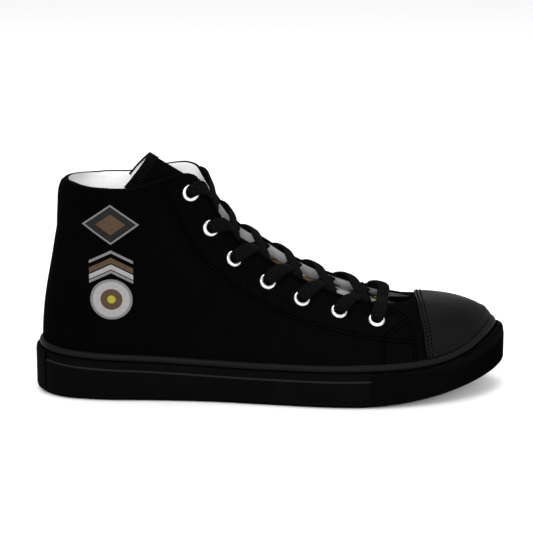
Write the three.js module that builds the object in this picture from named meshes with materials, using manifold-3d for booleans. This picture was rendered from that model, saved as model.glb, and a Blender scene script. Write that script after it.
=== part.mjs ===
// High top sneaker for the right foot, an assembly of separate pieces.
// Millimetres: +X runs to the toe, +Y to the inner side of the foot, +Z up, and the floor is Z = 0.
import * as THREE from "three";
import { mergeVertices } from "three/addons/utils/BufferGeometryUtils.js";
import Module from "manifold-3d";

const wasm = await Module();
wasm.setup();

// Overall sizes
const LENGTH = 295;
const BALL_WIDTH = 106;
const COLLAR_HEIGHT = 137;
const COLLAR_WIDTH = 60;
const TOE_HEIGHT = 57.4;
const THROAT_GAP = 34;
const INNER_RISE = 3.2; // how much higher the throat's inner edge stands over the instep

// Clearance between two pieces that meet
const GAP = 0.3;

// Sole
const SOLE_HEIGHT = 28.2;
const TOE_SPRING = 15;
const SPRING_START = 0.678;
const SPRING_POWER = 1.75;
const OUTSOLE_THICK = 5.5;
const OUTSOLE_EDGE = 3;
const TREAD_DEPTH = 1.8;
const TREAD_RIM = 7;
const LUG_LENGTH = 7.5;
const LUG_PITCH = 13;
const LUG_SLANT = 7;
const CUP_WALL = 3.4;
const STEP_DROP = 5.5;
const STEP_IN = 0.9;
const HEEL_FLOOR = 14;
const BALL_FLOOR = 10.5;
const BUMPER_THICK = 1.6;
const BUMPER_START = 0.709;
const HEEL_PATCH_END = 0.024;
const BEAD_HEIGHT = 4.4;
const BEAD_WIDTH = 2.4;

// Upper
const UPPER_WALL = 2;
const UPPER_ROOM = 0.8;
const UPPER_INSET = CUP_WALL + GAP + UPPER_ROOM;
const OVERLAY_THICK = 1.2;
const TOE_CAP_THICK = 1.2;
const INSOLE_THICK = 4;

// Tongue
const TONGUE_THICK = 3;
const TONGUE_CROWN = 3.5;
const TONGUE_ABOVE_COLLAR = 12;
const TONGUE_BACK = 0.247;
const TONGUE_ARM_BACK = 0.2;
const TONGUE_ARM_DROP = 5;
const TONGUE_FRONT_LAP = 8;
const BINDING_WIDTH = 6;
const BINDING_PROUD = 0.5;

// Laces and eyelets
const LACE_WIDTH = 7.4;
const LACE_THICK = 2.2;
const EYELET_FLANGE = 5.25;
const EYELET_BARREL = 3.3;
const EYELET_BORE = 2.7;
const EYELET_PROUD = 1.2;

// Grid steps of the faceted solids
const SOLE_STEPS = 60;
const RIB_SPLIT = 2;
const RIB_STEPS = 7;
const HOLE_SIDES = 8;

// Plan of the sole: x is a share of LENGTH from the heel, and the two half widths are shares of
// BALL_WIDTH to the outer (lateral) and the inner (medial) side of the centre line.
const PLAN = [
  { x: 0, lateral: 0, medial: 0 },
  { x: 0.017, lateral: 0.17, medial: 0.17 },
  { x: 0.061, lateral: 0.276, medial: 0.272 },
  { x: 0.136, lateral: 0.33, medial: 0.325 },
  { x: 0.254, lateral: 0.346, medial: 0.335 },
  { x: 0.373, lateral: 0.372, medial: 0.344 },
  { x: 0.492, lateral: 0.428, medial: 0.388 },
  { x: 0.61, lateral: 0.482, medial: 0.46 },
  { x: 0.695, lateral: 0.492, medial: 0.505 },
  { x: 0.78, lateral: 0.465, medial: 0.508 },
  { x: 0.864, lateral: 0.392, medial: 0.458 },
  { x: 0.932, lateral: 0.276, medial: 0.358 },
  { x: 0.976, lateral: 0.14, medial: 0.23 },
  { x: 1, lateral: -0.05, medial: 0.05 },
];

// Top line of the sole's side, as a share of SOLE_HEIGHT, along the length.
const SIDE_LINE = [
  { x: 0, top: 1 },
  { x: 0.108, top: 0.91 },
  { x: 0.254, top: 0.848 },
  { x: 0.393, top: 0.785 },
  { x: 0.519, top: 0.773 },
  { x: 0.68, top: 0.782 },
  { x: 0.8, top: 0.82 },
  { x: 0.871, top: 0.915 },
  { x: 0.925, top: 1.075 },
  { x: 0.959, top: 1.235 },
  { x: 1, top: 1.42 },
];

// Ribs of the upper from the heel to the flap's top corner. foot is where the rib starts on the
// sole's plan and x where it ends, both shares of LENGTH; top is its end height as a share of
// COLLAR_HEIGHT and half its half width as a share of COLLAR_WIDTH. lean is the outward angle at
// the foot, crown the inward angle at the top, rise and reach the shares of its span they hold for.
const COLLAR_RIBS = [
  { foot: 0, x: 0.055, top: 0.988, half: 0, lean: 2, rise: 0.48, crown: 0, reach: 0.46 },
  { foot: 0.017, x: 0.063, top: 0.987, half: 0.205, lean: 2, rise: 0.47, crown: 0, reach: 0.46 },
  { foot: 0.061, x: 0.092, top: 0.984, half: 0.372, lean: 2, rise: 0.45, crown: -1, reach: 0.44 },
  { foot: 0.136, x: 0.139, top: 0.981, half: 0.472, lean: 2, rise: 0.42, crown: -3, reach: 0.4 },
  { foot: 0.21, x: 0.197, top: 0.978, half: 0.5, lean: 2, rise: 0.4, crown: -3, reach: 0.38 },
  { foot: 0.278, x: 0.254, top: 0.993, half: 0.472, lean: 2, rise: 0.38, crown: 0, reach: 0.36 },
  { foot: 0.33, x: 0.298, top: 1.014, half: 0.392, lean: 2, rise: 0.38, crown: 8, reach: 0.34 },
  { foot: 0.362, x: 0.325, top: 1.021, half: 0.327, lean: 2, rise: 0.38, crown: 16, reach: 0.33 },
];

// Ribs along the throat and round its front end. top is the share of the way from TOE_HEIGHT up
// to COLLAR_HEIGHT, half a share of THROAT_GAP, and the other columns are as above.
const THROAT_RIBS = [
  { foot: 0.386, x: 0.344, top: 1.012, half: 0.518, lean: 2, rise: 0.39, crown: 24, reach: 0.32 },
  { foot: 0.41, x: 0.36, top: 0.918, half: 0.5, lean: 2, rise: 0.4, crown: 33, reach: 0.32 },
  { foot: 0.443, x: 0.393, top: 0.71, half: 0.5, lean: 2.5, rise: 0.41, crown: 42, reach: 0.32 },
  { foot: 0.48, x: 0.434, top: 0.5, half: 0.5, lean: 3, rise: 0.42, crown: 50, reach: 0.32 },
  { foot: 0.527, x: 0.483, top: 0.385, half: 0.5, lean: 3.5, rise: 0.43, crown: 55, reach: 0.32 },
  { foot: 0.583, x: 0.544, top: 0.24, half: 0.5, lean: 4, rise: 0.43, crown: 58, reach: 0.34 },
  { foot: 0.645, x: 0.61, top: 0.12, half: 0.5, lean: 4, rise: 0.43, crown: 62, reach: 0.37 },
  { foot: 0.71, x: 0.68, top: 0.03, half: 0.5, lean: 4, rise: 0.43, crown: 66, reach: 0.4 },
  { foot: 0.773, x: 0.741, top: -0.012, half: 0.466, lean: 4, rise: 0.43, crown: 72, reach: 0.44 },
  { foot: 0.834, x: 0.771, top: -0.008, half: 0.38, lean: 3.5, rise: 0.43, crown: 79, reach: 0.48 },
  { foot: 0.892, x: 0.788, top: -0.003, half: 0.27, lean: 3, rise: 0.43, crown: 84, reach: 0.52 },
  { foot: 0.942, x: 0.797, top: 0, half: 0.17, lean: 2, rise: 0.43, crown: 87, reach: 0.55 },
  { foot: 0.979, x: 0.8, top: 0, half: 0.083, lean: 1, rise: 0.43, crown: 88, reach: 0.57 },
  { foot: 1, x: 0.801, top: 0, half: 0, lean: 1, rise: 0.43, crown: 88, reach: 0.58 },
];

// Eyelet centres from the top down in the side view: x is a share of LENGTH, and rise the share
// of the way from TOE_HEIGHT up to COLLAR_HEIGHT.
const EYELETS = [
  { x: 0.334, rise: 0.893 },
  { x: 0.373, rise: 0.626 },
  { x: 0.421, rise: 0.387 },
  { x: 0.492, rise: 0.211 },
  { x: 0.563, rise: 0.073 },
  { x: 0.641, rise: -0.027 },
  { x: 0.72, rise: -0.095 },
];

// Lower edge of the eyestay in the side view, in the same shares, from the collar to its front.
const EYESTAY_LINE = [
  { x: 0.262, rise: 1.172 },
  { x: 0.27, rise: 1.012 },
  { x: 0.281, rise: 0.912 },
  { x: 0.298, rise: 0.761 },
  { x: 0.325, rise: 0.561 },
  { x: 0.359, rise: 0.384 },
  { x: 0.393, rise: 0.258 },
  { x: 0.427, rise: 0.158 },
  { x: 0.461, rise: 0.095 },
  { x: 0.519, rise: 0.007 },
  { x: 0.566, rise: -0.031 },
  { x: 0.644, rise: -0.119 },
  { x: 0.695, rise: -0.16 },
  { x: 0.729, rise: -0.198 },
  { x: 0.783, rise: -0.093 },
  { x: 0.786, rise: 0.139 },
  { x: 0.5, rise: 1.172 },
];

// Rear edge of the toe cap in plan: x a share of LENGTH, y a share of BALL_WIDTH.
const TOE_CAP_LINE = [
  { x: 0.807, y: 0 },
  { x: 0.812, y: 0.25 },
  { x: 0.838, y: 0.6 },
];

const UP = new THREE.Vector3(0, 0, 1);

function radians(degrees) {
  return THREE.MathUtils.degToRad(degrees);
}

// A smooth curve through one column of a table whose x column is a share of the length.
function column(table, name) {
  const last = table.length - 1;
  const slope = (i) => {
    const from = table[Math.max(i - 1, 0)];
    const to = table[Math.min(i + 1, last)];
    return (to[name] - from[name]) / (to.x - from.x);
  };
  return (share) => {
    const x = THREE.MathUtils.clamp(share, table[0].x, table[last].x);
    const i = Math.min(table.findIndex((row, k) => k === last || x <= table[k + 1].x), last - 1);
    const width = table[i + 1].x - table[i].x;
    const u = (x - table[i].x) / width;
    const a = table[i][name];
    const b = table[i + 1][name];
    return a * (1 - u) ** 2 * (1 + 2 * u) + b * u ** 2 * (3 - 2 * u)
      + width * (slope(i) * u * (1 - u) ** 2 - slope(i + 1) * u ** 2 * (1 - u));
  };
}

const sideShare = column(SIDE_LINE, "top");

function spring(x) {
  const share = Math.max(0, (x / LENGTH - SPRING_START) / (1 - SPRING_START));
  return TOE_SPRING * share ** SPRING_POWER;
}

function wallTop(x) {
  return SOLE_HEIGHT * sideShare(x / LENGTH);
}

function cupFloor(x) {
  const forward = THREE.MathUtils.smoothstep(x / LENGTH, 0.2, 0.6);
  return spring(x) + THREE.MathUtils.lerp(HEEL_FLOOR, BALL_FLOOR, forward);
}

// Closed plan of the sole: the outer side from heel to toe, then the inner side back.
const planRows = PLAN.map((row) => new THREE.Vector3(row.x * LENGTH, -row.lateral * BALL_WIDTH, 0));
for (const row of PLAN.slice(1, -1).reverse()) {
  planRows.push(new THREE.Vector3(row.x * LENGTH, row.medial * BALL_WIDTH, 0));
}
const planCurve = new THREE.CatmullRomCurve3(planRows, true, "centripetal");

function loopPoint(curve, t) {
  return curve.getPoint(((t % 1) + 1) % 1);
}

function planInward(t) {
  const step = 1e-3;
  const along = loopPoint(planCurve, t + step).sub(loopPoint(planCurve, t - step)).normalize();
  return new THREE.Vector3(-along.y, along.x, 0);
}

// Share of the plan's loop at length x on one side: -1 is the outer side, 1 the inner side.
function planShare(x, side) {
  let low = 0;
  let high = 0.5;
  for (let i = 0; i < 40; i += 1) {
    const middle = (low + high) / 2;
    const found = loopPoint(planCurve, side < 0 ? middle : 1 - middle).x;
    if (found < x) low = middle;
    else high = middle;
  }
  return side < 0 ? low : 1 - low;
}

function planAt(t, inset) {
  return loopPoint(planCurve, t).addScaledVector(planInward(t), inset);
}

// One loop round the sole, inset from its plan. Its height is a function of the plan's own x.
function soleLoop(inset, height) {
  return Array.from({ length: SOLE_STEPS }, (_, i) => {
    const t = i / SOLE_STEPS;
    return planAt(t, inset).setZ(height(planAt(t, 0).x));
  });
}

// The x of the plan's edge where it is nearest to a point inside it.
function edgeX(point) {
  let nearest = Infinity;
  let found = 0;
  for (let i = 0; i < 600; i += 1) {
    const edge = loopPoint(planCurve, i / 600);
    const distance = Math.hypot(edge.x - point.x, edge.y - point.y);
    if (distance < nearest) {
      nearest = distance;
      found = edge.x;
    }
  }
  return found;
}

function geometryOf(points, faces) {
  const geometry = new THREE.BufferGeometry();
  geometry.setAttribute("position", new THREE.Float32BufferAttribute(points.flatMap((p) => p.toArray()), 3));
  geometry.setIndex(faces);
  return geometry;
}

function solidOf(geometry) {
  const bare = geometry.clone();
  bare.deleteAttribute("normal");
  bare.deleteAttribute("uv");
  const merged = mergeVertices(bare, 1e-4);
  return new wasm.Manifold(new wasm.Mesh({
    numProp: 3,
    vertProperties: new Float32Array(merged.attributes.position.array),
    triVerts: new Uint32Array(merged.index.array),
  }));
}

function geometryFrom(solid) {
  const mesh = solid.getMesh();
  const geometry = new THREE.BufferGeometry();
  const { numProp, vertProperties } = mesh;
  const positions = [];
  for (let i = 0; i < vertProperties.length; i += numProp) {
    positions.push(vertProperties[i], vertProperties[i + 1], vertProperties[i + 2]);
  }
  geometry.setAttribute("position", new THREE.Float32BufferAttribute(positions, 3));
  geometry.setIndex(Array.from(mesh.triVerts));
  return geometry;
}

// Closed form through loops of the sole's plan. The first and last loop are closed straight
// across, from the outer side to the inner one.
function stackGeometry(loops) {
  const count = loops[0].length;
  const points = loops.flat();
  const faces = [];
  for (let k = 0; k + 1 < loops.length; k += 1) {
    for (let i = 0; i < count; i += 1) {
      const next = (i + 1) % count;
      const a = k * count + i;
      const b = k * count + next;
      faces.push(a, b, b + count, a, b + count, a + count);
    }
  }
  const top = (loops.length - 1) * count;
  for (let i = 0; i < count / 2; i += 1) {
    const far = (count - i) % count;
    const nearNext = i + 1;
    const farNext = count - i - 1;
    if (far !== i) {
      faces.push(i, far, farNext);
      faces.push(top + i, top + farNext, top + far);
    }
    if (nearNext !== farNext) {
      faces.push(i, farNext, nearNext);
      faces.push(top + i, top + nearNext, top + farNext);
    }
  }
  return geometryOf(points, faces);
}

// Closed form swept along rings of equal count. A loop joins its last ring to the first, and
// an open sweep is closed by a fan at each end.
function sweepGeometry(rings, loop) {
  const count = rings[0].length;
  const points = rings.flat();
  const faces = [];
  const spans = loop ? rings.length : rings.length - 1;
  for (let k = 0; k < spans; k += 1) {
    const here = k * count;
    const there = ((k + 1) % rings.length) * count;
    for (let i = 0; i < count; i += 1) {
      const next = (i + 1) % count;
      faces.push(here + i, there + next, here + next, here + i, there + i, there + next);
    }
  }
  if (!loop) {
    const end = (rings.length - 1) * count;
    for (let i = 1; i + 1 < count; i += 1) {
      faces.push(0, i, i + 1);
      faces.push(end, end + i + 1, end + i);
    }
  }
  return geometryOf(points, faces);
}

// Closed sheet between an outer and an inner grid of points, rows by columns. A loop joins the
// last row to the first.
function sheetGeometry(outer, inner, loop) {
  const rows = outer.length;
  const count = outer[0].length;
  const points = [...outer.flat(), ...inner.flat()];
  const faces = [];
  const inside = rows * count;
  const quad = (a, b, c, d) => faces.push(a, b, c, a, c, d);
  const spans = loop ? rows : rows - 1;
  for (let k = 0; k < spans; k += 1) {
    const here = k * count;
    const there = ((k + 1) % rows) * count;
    for (let i = 0; i + 1 < count; i += 1) {
      quad(here + i, there + i, there + i + 1, here + i + 1);
      quad(inside + here + i, inside + here + i + 1, inside + there + i + 1, inside + there + i);
    }
    const end = count - 1;
    quad(here, inside + here, inside + there, there);
    quad(here + end, there + end, inside + there + end, inside + here + end);
  }
  if (!loop) {
    const last = (rows - 1) * count;
    for (let i = 0; i + 1 < count; i += 1) {
      quad(i, i + 1, inside + i + 1, inside + i);
      quad(last + i, inside + last + i, inside + last + i + 1, last + i + 1);
    }
  }
  return geometryOf(points, faces);
}

// The four control points of one rib of the upper, on one side of the foot.
function ribControls(row, top, side) {
  const t = planShare(row.foot * LENGTH, side);
  const inward = planInward(t);
  const foot = planAt(t, UPPER_INSET);
  foot.z = cupFloor(planAt(t, 0).x) + GAP;
  const span = foot.distanceTo(top);
  const low = foot.clone()
    .addScaledVector(UP, row.rise * span * Math.cos(radians(row.lean)))
    .addScaledVector(inward, -row.rise * span * Math.sin(radians(row.lean)));
  const high = top.clone()
    .addScaledVector(UP, -row.reach * span * Math.cos(radians(row.crown)))
    .addScaledVector(inward, -row.reach * span * Math.sin(radians(row.crown)));
  return [foot, low, high, top];
}

function collarRib(row, side) {
  const top = new THREE.Vector3(row.x * LENGTH, side * row.half * COLLAR_WIDTH, row.top * COLLAR_HEIGHT);
  return ribControls(row, top, side);
}

function risen(share) {
  return THREE.MathUtils.lerp(TOE_HEIGHT, COLLAR_HEIGHT, share);
}

// Height at share of the way up the throat, at length x on one side.
function throatHeight(x, share, side) {
  const { smoothstep } = THREE.MathUtils;
  const along = x / LENGTH;
  const rise = side < 0 ? 0 : smoothstep(along, 0.36, 0.46) * (1 - smoothstep(along, 0.69, 0.8));
  return risen(share) + INNER_RISE * rise;
}

function throatRib(row, side) {
  const x = row.x * LENGTH;
  const top = new THREE.Vector3(x, side * row.half * THROAT_GAP, throatHeight(x, row.top, side));
  return ribControls(row, top, side);
}

// All ribs in one loop: heel, outer side, toe, inner side. Each of their four control points
// runs round the shoe on a smooth closed curve, and those four curves are the upper's form.
const RIB_COUNT = COLLAR_RIBS.length + THROAT_RIBS.length;
const TOE_RIB = RIB_COUNT - 1;
const ribs = [
  ...COLLAR_RIBS.map((row) => collarRib(row, -1)),
  ...THROAT_RIBS.map((row) => throatRib(row, -1)),
  ...THROAT_RIBS.slice(0, -1).reverse().map((row) => throatRib(row, 1)),
  ...COLLAR_RIBS.slice(1).reverse().map((row) => collarRib(row, 1)),
];
const ribCurves = [0, 1, 2, 3].map((k) => (
  new THREE.CatmullRomCurve3(ribs.map((rib) => rib[k]), true, "centripetal")
));

// The upper's outer form at rib r (counted from the heel along the outer side) and share v of
// the way from the sole to the edge.
function form(r, v) {
  const [a, b, c, d] = ribCurves.map((curve) => loopPoint(curve, r / ribs.length));
  const w = 1 - v;
  return a.multiplyScalar(w ** 3)
    .addScaledVector(b, 3 * w * w * v)
    .addScaledVector(c, 3 * w * v * v)
    .addScaledVector(d, v ** 3);
}

function formNormal(r, v) {
  const dr = 0.05;
  const dv = 0.01;
  const along = form(r + dr, v).sub(form(r - dr, v));
  const upward = form(r, Math.min(v + dv, 1)).sub(form(r, Math.max(v - dv, 0)));
  return along.cross(upward).normalize();
}

function skin(r, v, offset) {
  return form(r, v).addScaledVector(formNormal(r, v), offset);
}

// Ribs of the inner side are counted on round the loop, so the mirror of rib r is its partner.
function partner(r, side) {
  return side < 0 ? r : ribs.length - r;
}

// Sheet that follows the upper's form between two offsets, over a range of ribs, from one of
// the upper's own height steps up to its edge.
function formSheet(ribsFrom, ribsTo, firstStep, inner, outer) {
  const rows = Math.round((ribsTo - ribsFrom) * RIB_SPLIT);
  const grid = (offset) => Array.from({ length: rows + 1 }, (_, i) => (
    Array.from({ length: RIB_STEPS - firstStep + 1 }, (__, j) => (
      skin(ribsFrom + i / RIB_SPLIT, (firstStep + j) / RIB_STEPS, offset)
    ))
  ));
  return sheetGeometry(grid(outer), grid(inner), false);
}

// The rib and height share at which the form passes x and z in the side view.
function findInSideView(x, z, side) {
  let r = TOE_RIB / 2;
  let v = 0.8;
  for (let pass = 0; pass < 12; pass += 1) {
    let low = 1;
    let high = TOE_RIB - 1;
    for (let i = 0; i < 30; i += 1) {
      r = (low + high) / 2;
      if (form(partner(r, side), v).x < x) low = r;
      else high = r;
    }
    low = 0.2;
    high = 1;
    for (let i = 0; i < 30; i += 1) {
      v = (low + high) / 2;
      if (form(partner(r, side), v).z < z) low = v;
      else high = v;
    }
  }
  return { r, v };
}

// The rib whose end on the throat edge is nearest to a point.
function edgeRib(point, side) {
  let best = COLLAR_RIBS.length;
  let nearest = Infinity;
  for (let r = COLLAR_RIBS.length; r < TOE_RIB; r += 0.05) {
    const distance = form(partner(r, side), 1).distanceTo(point);
    if (distance < nearest) {
      nearest = distance;
      best = r;
    }
  }
  return best;
}

const EYELET_SEAT = GAP + OVERLAY_THICK;
const eyelets = [-1, 1].flatMap((side) => EYELETS.map((row, index) => {
  const x = row.x * LENGTH;
  const { r, v } = findInSideView(x, throatHeight(x, row.rise, side), side);
  const centre = form(partner(r, side), v);
  const normal = formNormal(partner(r, side), v);
  return { side, index, r, v, centre, normal, edge: edgeRib(centre, side) };
}));

function orient(object, position, normal) {
  object.position.copy(position);
  object.quaternion.setFromUnitVectors(new THREE.Vector3(0, 1, 0), normal);
}

function eyeletHoles(side) {
  const length = 24;
  const cutter = new THREE.CylinderGeometry(EYELET_BARREL + 2 * GAP, EYELET_BARREL + 2 * GAP, length, HOLE_SIDES);
  return eyelets.filter((eyelet) => eyelet.side === side).map((eyelet) => {
    const place = new THREE.Object3D();
    orient(place, eyelet.centre, eyelet.normal);
    place.updateMatrix();
    return solidOf(cutter.clone().applyMatrix4(place.matrix));
  });
}

// Outline in the side view, cut straight through in Y.
function sideCutter(rows, side) {
  const shape = new THREE.Shape(rows.map((row) => new THREE.Vector2(row.x * LENGTH, risen(row.rise))));
  const geometry = new THREE.ExtrudeGeometry(shape, { depth: BALL_WIDTH, bevelEnabled: false });
  geometry.rotateX(Math.PI / 2);
  if (side > 0) geometry.translate(0, BALL_WIDTH, 0);
  return solidOf(geometry);
}

// A box that holds the part of the sole between two lengths.
function lengthBox(from, to) {
  const size = 3 * BALL_WIDTH;
  const box = new THREE.BoxGeometry(to - from, size, size);
  box.translate((from + to) / 2, 0, 0);
  return solidOf(box);
}

function makeUpper() {
  const columns = ribs.length * RIB_SPLIT;
  const grid = (offset) => Array.from({ length: columns }, (_, i) => (
    Array.from({ length: RIB_STEPS + 1 }, (__, j) => skin(i / RIB_SPLIT, j / RIB_STEPS, offset))
  ));
  let solid = solidOf(sheetGeometry(grid(0), grid(-UPPER_WALL), true));
  for (const side of [-1, 1]) {
    for (const hole of eyeletHoles(side)) solid = solid.subtract(hole);
  }
  return geometryFrom(solid);
}

function makeEyestay(side) {
  const from = 5;
  const to = 18;
  const ends = side < 0 ? [from, to] : [ribs.length - to, ribs.length - from];
  let solid = solidOf(formSheet(ends[0], ends[1], 2, GAP, EYELET_SEAT));
  solid = solid.intersect(sideCutter(EYESTAY_LINE, side));
  for (const hole of eyeletHoles(side)) solid = solid.subtract(hole);
  return geometryFrom(solid);
}

function makeToeCap() {
  const from = 15;
  const sheet = solidOf(formSheet(from, ribs.length - from, 1, GAP, GAP + TOE_CAP_THICK));
  const beyond = 1.2 * LENGTH;
  const edge = [
    ...TOE_CAP_LINE.slice(1).reverse().map((row) => new THREE.Vector2(row.x * LENGTH, -row.y * BALL_WIDTH)),
    ...TOE_CAP_LINE.map((row) => new THREE.Vector2(row.x * LENGTH, row.y * BALL_WIDTH)),
  ];
  const half = TOE_CAP_LINE[TOE_CAP_LINE.length - 1].y * BALL_WIDTH;
  const shape = new THREE.Shape([...edge, new THREE.Vector2(beyond, half), new THREE.Vector2(beyond, -half)]);
  const front = new THREE.ExtrudeGeometry(shape, { depth: COLLAR_HEIGHT, bevelEnabled: false });
  const top = 2 * GAP + BEAD_HEIGHT;
  const below = solidOf(sweepGeometry(beadRings([
    [-CUP_WALL, -SOLE_HEIGHT],
    [2 * CUP_WALL, -SOLE_HEIGHT],
    [2 * CUP_WALL, top],
    [-CUP_WALL, top],
  ]), true));
  return geometryFrom(sheet.intersect(solidOf(front)).subtract(below));
}

// Height share of rib r at which the form passes height z.
function heightShare(r, z) {
  let low = 0;
  let high = 0.6;
  for (let i = 0; i < 30; i += 1) {
    const middle = (low + high) / 2;
    if (form(r, middle).z < z) low = middle;
    else high = middle;
  }
  return low;
}

// Rings round the foot of the upper. Each corner of their section is an outward distance from
// the upper and a height above the sole's side.
function beadRings(section) {
  return Array.from({ length: ribs.length * RIB_SPLIT }, (_, i) => {
    const r = i / RIB_SPLIT;
    const low = wallTop(edgeX(form(r, 0)));
    const out = formNormal(r, heightShare(r, low)).setZ(0).normalize();
    return section.map(([width, height]) => {
      const point = form(r, heightShare(r, low + height)).addScaledVector(out, width);
      return point.setZ(low + height);
    });
  });
}

// Piping on top of the sole's side, against the upper.
function makeBead() {
  const top = GAP + BEAD_HEIGHT;
  return sweepGeometry(beadRings([
    [GAP, GAP],
    [GAP + 0.9 * BEAD_WIDTH, GAP],
    [GAP + BEAD_WIDTH, GAP + 0.6 * BEAD_HEIGHT],
    [GAP, top],
  ]), true);
}

// Full side of the sole from the outsole up, before the bumper and the heel patch take their
// seats. The shrink lets the same form serve as their inner face.
function sideForm(shrink) {
  const low = (x) => spring(x) + OUTSOLE_THICK + GAP;
  return [
    soleLoop(shrink, low),
    soleLoop(shrink, (x) => wallTop(x) - STEP_DROP),
    soleLoop(shrink + STEP_IN, (x) => wallTop(x) - STEP_DROP + STEP_IN / 2),
    soleLoop(shrink + STEP_IN, (x) => wallTop(x)),
  ];
}

function makeMidsole() {
  const cup = solidOf(stackGeometry([
    ...sideForm(0),
    soleLoop(CUP_WALL, wallTop),
    soleLoop(CUP_WALL, cupFloor),
  ]));
  const core = solidOf(stackGeometry([
    soleLoop(BUMPER_THICK + GAP, () => -SOLE_HEIGHT),
    soleLoop(BUMPER_THICK + GAP, () => 2 * SOLE_HEIGHT),
  ]));
  const toe = lengthBox(BUMPER_START * LENGTH, 2 * LENGTH).subtract(core);
  const heel = lengthBox(-LENGTH, HEEL_PATCH_END * LENGTH).subtract(core);
  return geometryFrom(cup.subtract(toe).subtract(heel));
}

// A strip wrapped round one end of the sole, flush with its side.
function makeWrap(from, to, proud) {
  const low = (x) => spring(x) + OUTSOLE_THICK + GAP;
  const outer = solidOf(stackGeometry([
    soleLoop(-proud, low),
    soleLoop(-proud, (x) => wallTop(x) - STEP_IN),
    soleLoop(-proud + STEP_IN, wallTop),
  ]));
  const core = solidOf(stackGeometry([
    soleLoop(BUMPER_THICK, () => -SOLE_HEIGHT),
    soleLoop(BUMPER_THICK, () => 2 * SOLE_HEIGHT),
  ]));
  return geometryFrom(outer.intersect(lengthBox(from, to)).subtract(core));
}

function makeOutsole() {
  const plate = solidOf(stackGeometry([
    soleLoop(OUTSOLE_EDGE, spring),
    soleLoop(OUTSOLE_EDGE * 0.25, (x) => spring(x) + OUTSOLE_THICK * 0.4),
    soleLoop(0, (x) => spring(x) + OUTSOLE_THICK),
  ]));
  const pocket = (inset) => solidOf(stackGeometry([
    soleLoop(inset, (x) => spring(x) - TREAD_DEPTH),
    soleLoop(inset, (x) => spring(x) + TREAD_DEPTH),
  ]));
  const lugs = [];
  const zones = [[0.06, 0.33], [0.43, 0.93]];
  for (const [start, end] of zones) {
    const count = Math.floor(((end - start) * LENGTH) / LUG_PITCH);
    for (let i = 0; i < count; i += 1) {
      lugs.push(makeLug(start * LENGTH + i * LUG_PITCH));
    }
  }
  const field = solidOf(stackGeometry([
    soleLoop(0.9 * TREAD_RIM, (x) => spring(x)),
    soleLoop(0.9 * TREAD_RIM, (x) => spring(x) + 1.5 * TREAD_DEPTH),
  ]));
  let tread = lugs[0];
  for (const lug of lugs.slice(1)) tread = tread.add(lug);
  return geometryFrom(plate.subtract(pocket(TREAD_RIM)).add(tread.intersect(field)));
}

// One lug: a bar across the sole, bent like a chevron with its point to the toe.
function makeLug(x) {
  const half = 0.6 * BALL_WIDTH;
  const shape = new THREE.Shape([
    new THREE.Vector2(x, -half),
    new THREE.Vector2(x + LUG_LENGTH, -half),
    new THREE.Vector2(x + LUG_LENGTH + LUG_SLANT, 0),
    new THREE.Vector2(x + LUG_LENGTH, half),
    new THREE.Vector2(x, half),
    new THREE.Vector2(x + LUG_SLANT, 0),
  ]);
  const bar = new THREE.ExtrudeGeometry(shape, { depth: 2 * SOLE_HEIGHT, bevelEnabled: false });
  bar.translate(0, 0, -SOLE_HEIGHT);
  return solidOf(bar);
}

function makeInsole() {
  const inset = UPPER_INSET + UPPER_WALL + 3 * GAP;
  return stackGeometry([
    soleLoop(inset, (x) => cupFloor(x) + GAP),
    soleLoop(inset, (x) => cupFloor(x) + GAP + INSOLE_THICK),
  ]);
}

// Depth of the tongue's face under the flaps: against the upper at its side edges, and low
// enough for a lace in the throat.
const TONGUE_DROP = UPPER_WALL + LACE_THICK + 10 * GAP;
const TONGUE_SIDE = 0.83;
const TONGUE_FIRST_RIB = 18;
const TONGUE_LAST_RIB = 9;
const TONGUE_RIB_STEP = 1;
const THROAT_COLUMNS = 5;

// The point on the line between the throat's two edges, and the direction out of the throat.
function throatCentre(r) {
  const at = (rib) => form(rib, 1).add(form(partner(rib, 1), 1)).multiplyScalar(0.5);
  const along = at(r - 0.3).sub(at(r + 0.3)).normalize();
  return { point: at(r), out: new THREE.Vector3(along.z, 0, -along.x) };
}

function tongueRow(r) {
  const under = (side) => [0, 0.5, 1].map((share) => {
    const drop = THREE.MathUtils.lerp(UPPER_WALL + 3 * GAP, TONGUE_DROP, share);
    return skin(partner(r, side), THREE.MathUtils.lerp(TONGUE_SIDE, 1, share), -drop);
  });
  const near = under(-1);
  const far = under(1).reverse();
  const { out } = throatCentre(r);
  const bridge = Array.from({ length: THROAT_COLUMNS }, (_, i) => {
    const share = (i + 1) / (THROAT_COLUMNS + 1);
    const crown = TONGUE_CROWN * 4 * share * (1 - share);
    return near[2].clone().lerp(far[0], share).addScaledVector(out, crown);
  });
  return [...near, ...bridge, ...far];
}

// Top edge of the tongue: a bow over the collar, highest on the centre line.
function tongueTopRow(count) {
  const inside = COLLAR_WIDTH / 2 - UPPER_WALL - TONGUE_THICK - 6 * GAP;
  const armZ = COLLAR_HEIGHT - TONGUE_ARM_DROP;
  return Array.from({ length: count }, (_, i) => {
    const angle = THREE.MathUtils.lerp(-Math.PI / 2, Math.PI / 2, i / (count - 1));
    return new THREE.Vector3(
      THREE.MathUtils.lerp(TONGUE_ARM_BACK, TONGUE_BACK, Math.cos(angle)) * LENGTH,
      inside * Math.sin(angle),
      THREE.MathUtils.lerp(armZ, COLLAR_HEIGHT + TONGUE_ABOVE_COLLAR, Math.cos(angle)),
    );
  });
}

function tongueRows() {
  const rows = [];
  for (let r = TONGUE_FIRST_RIB; r >= TONGUE_LAST_RIB; r -= TONGUE_RIB_STEP) rows.push(tongueRow(r));
  const lap = new THREE.Vector3(TONGUE_FRONT_LAP, 0, -TONGUE_FRONT_LAP / 3);
  rows.unshift(rows[0].map((point) => point.clone().add(lap)));
  return rows;
}

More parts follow.
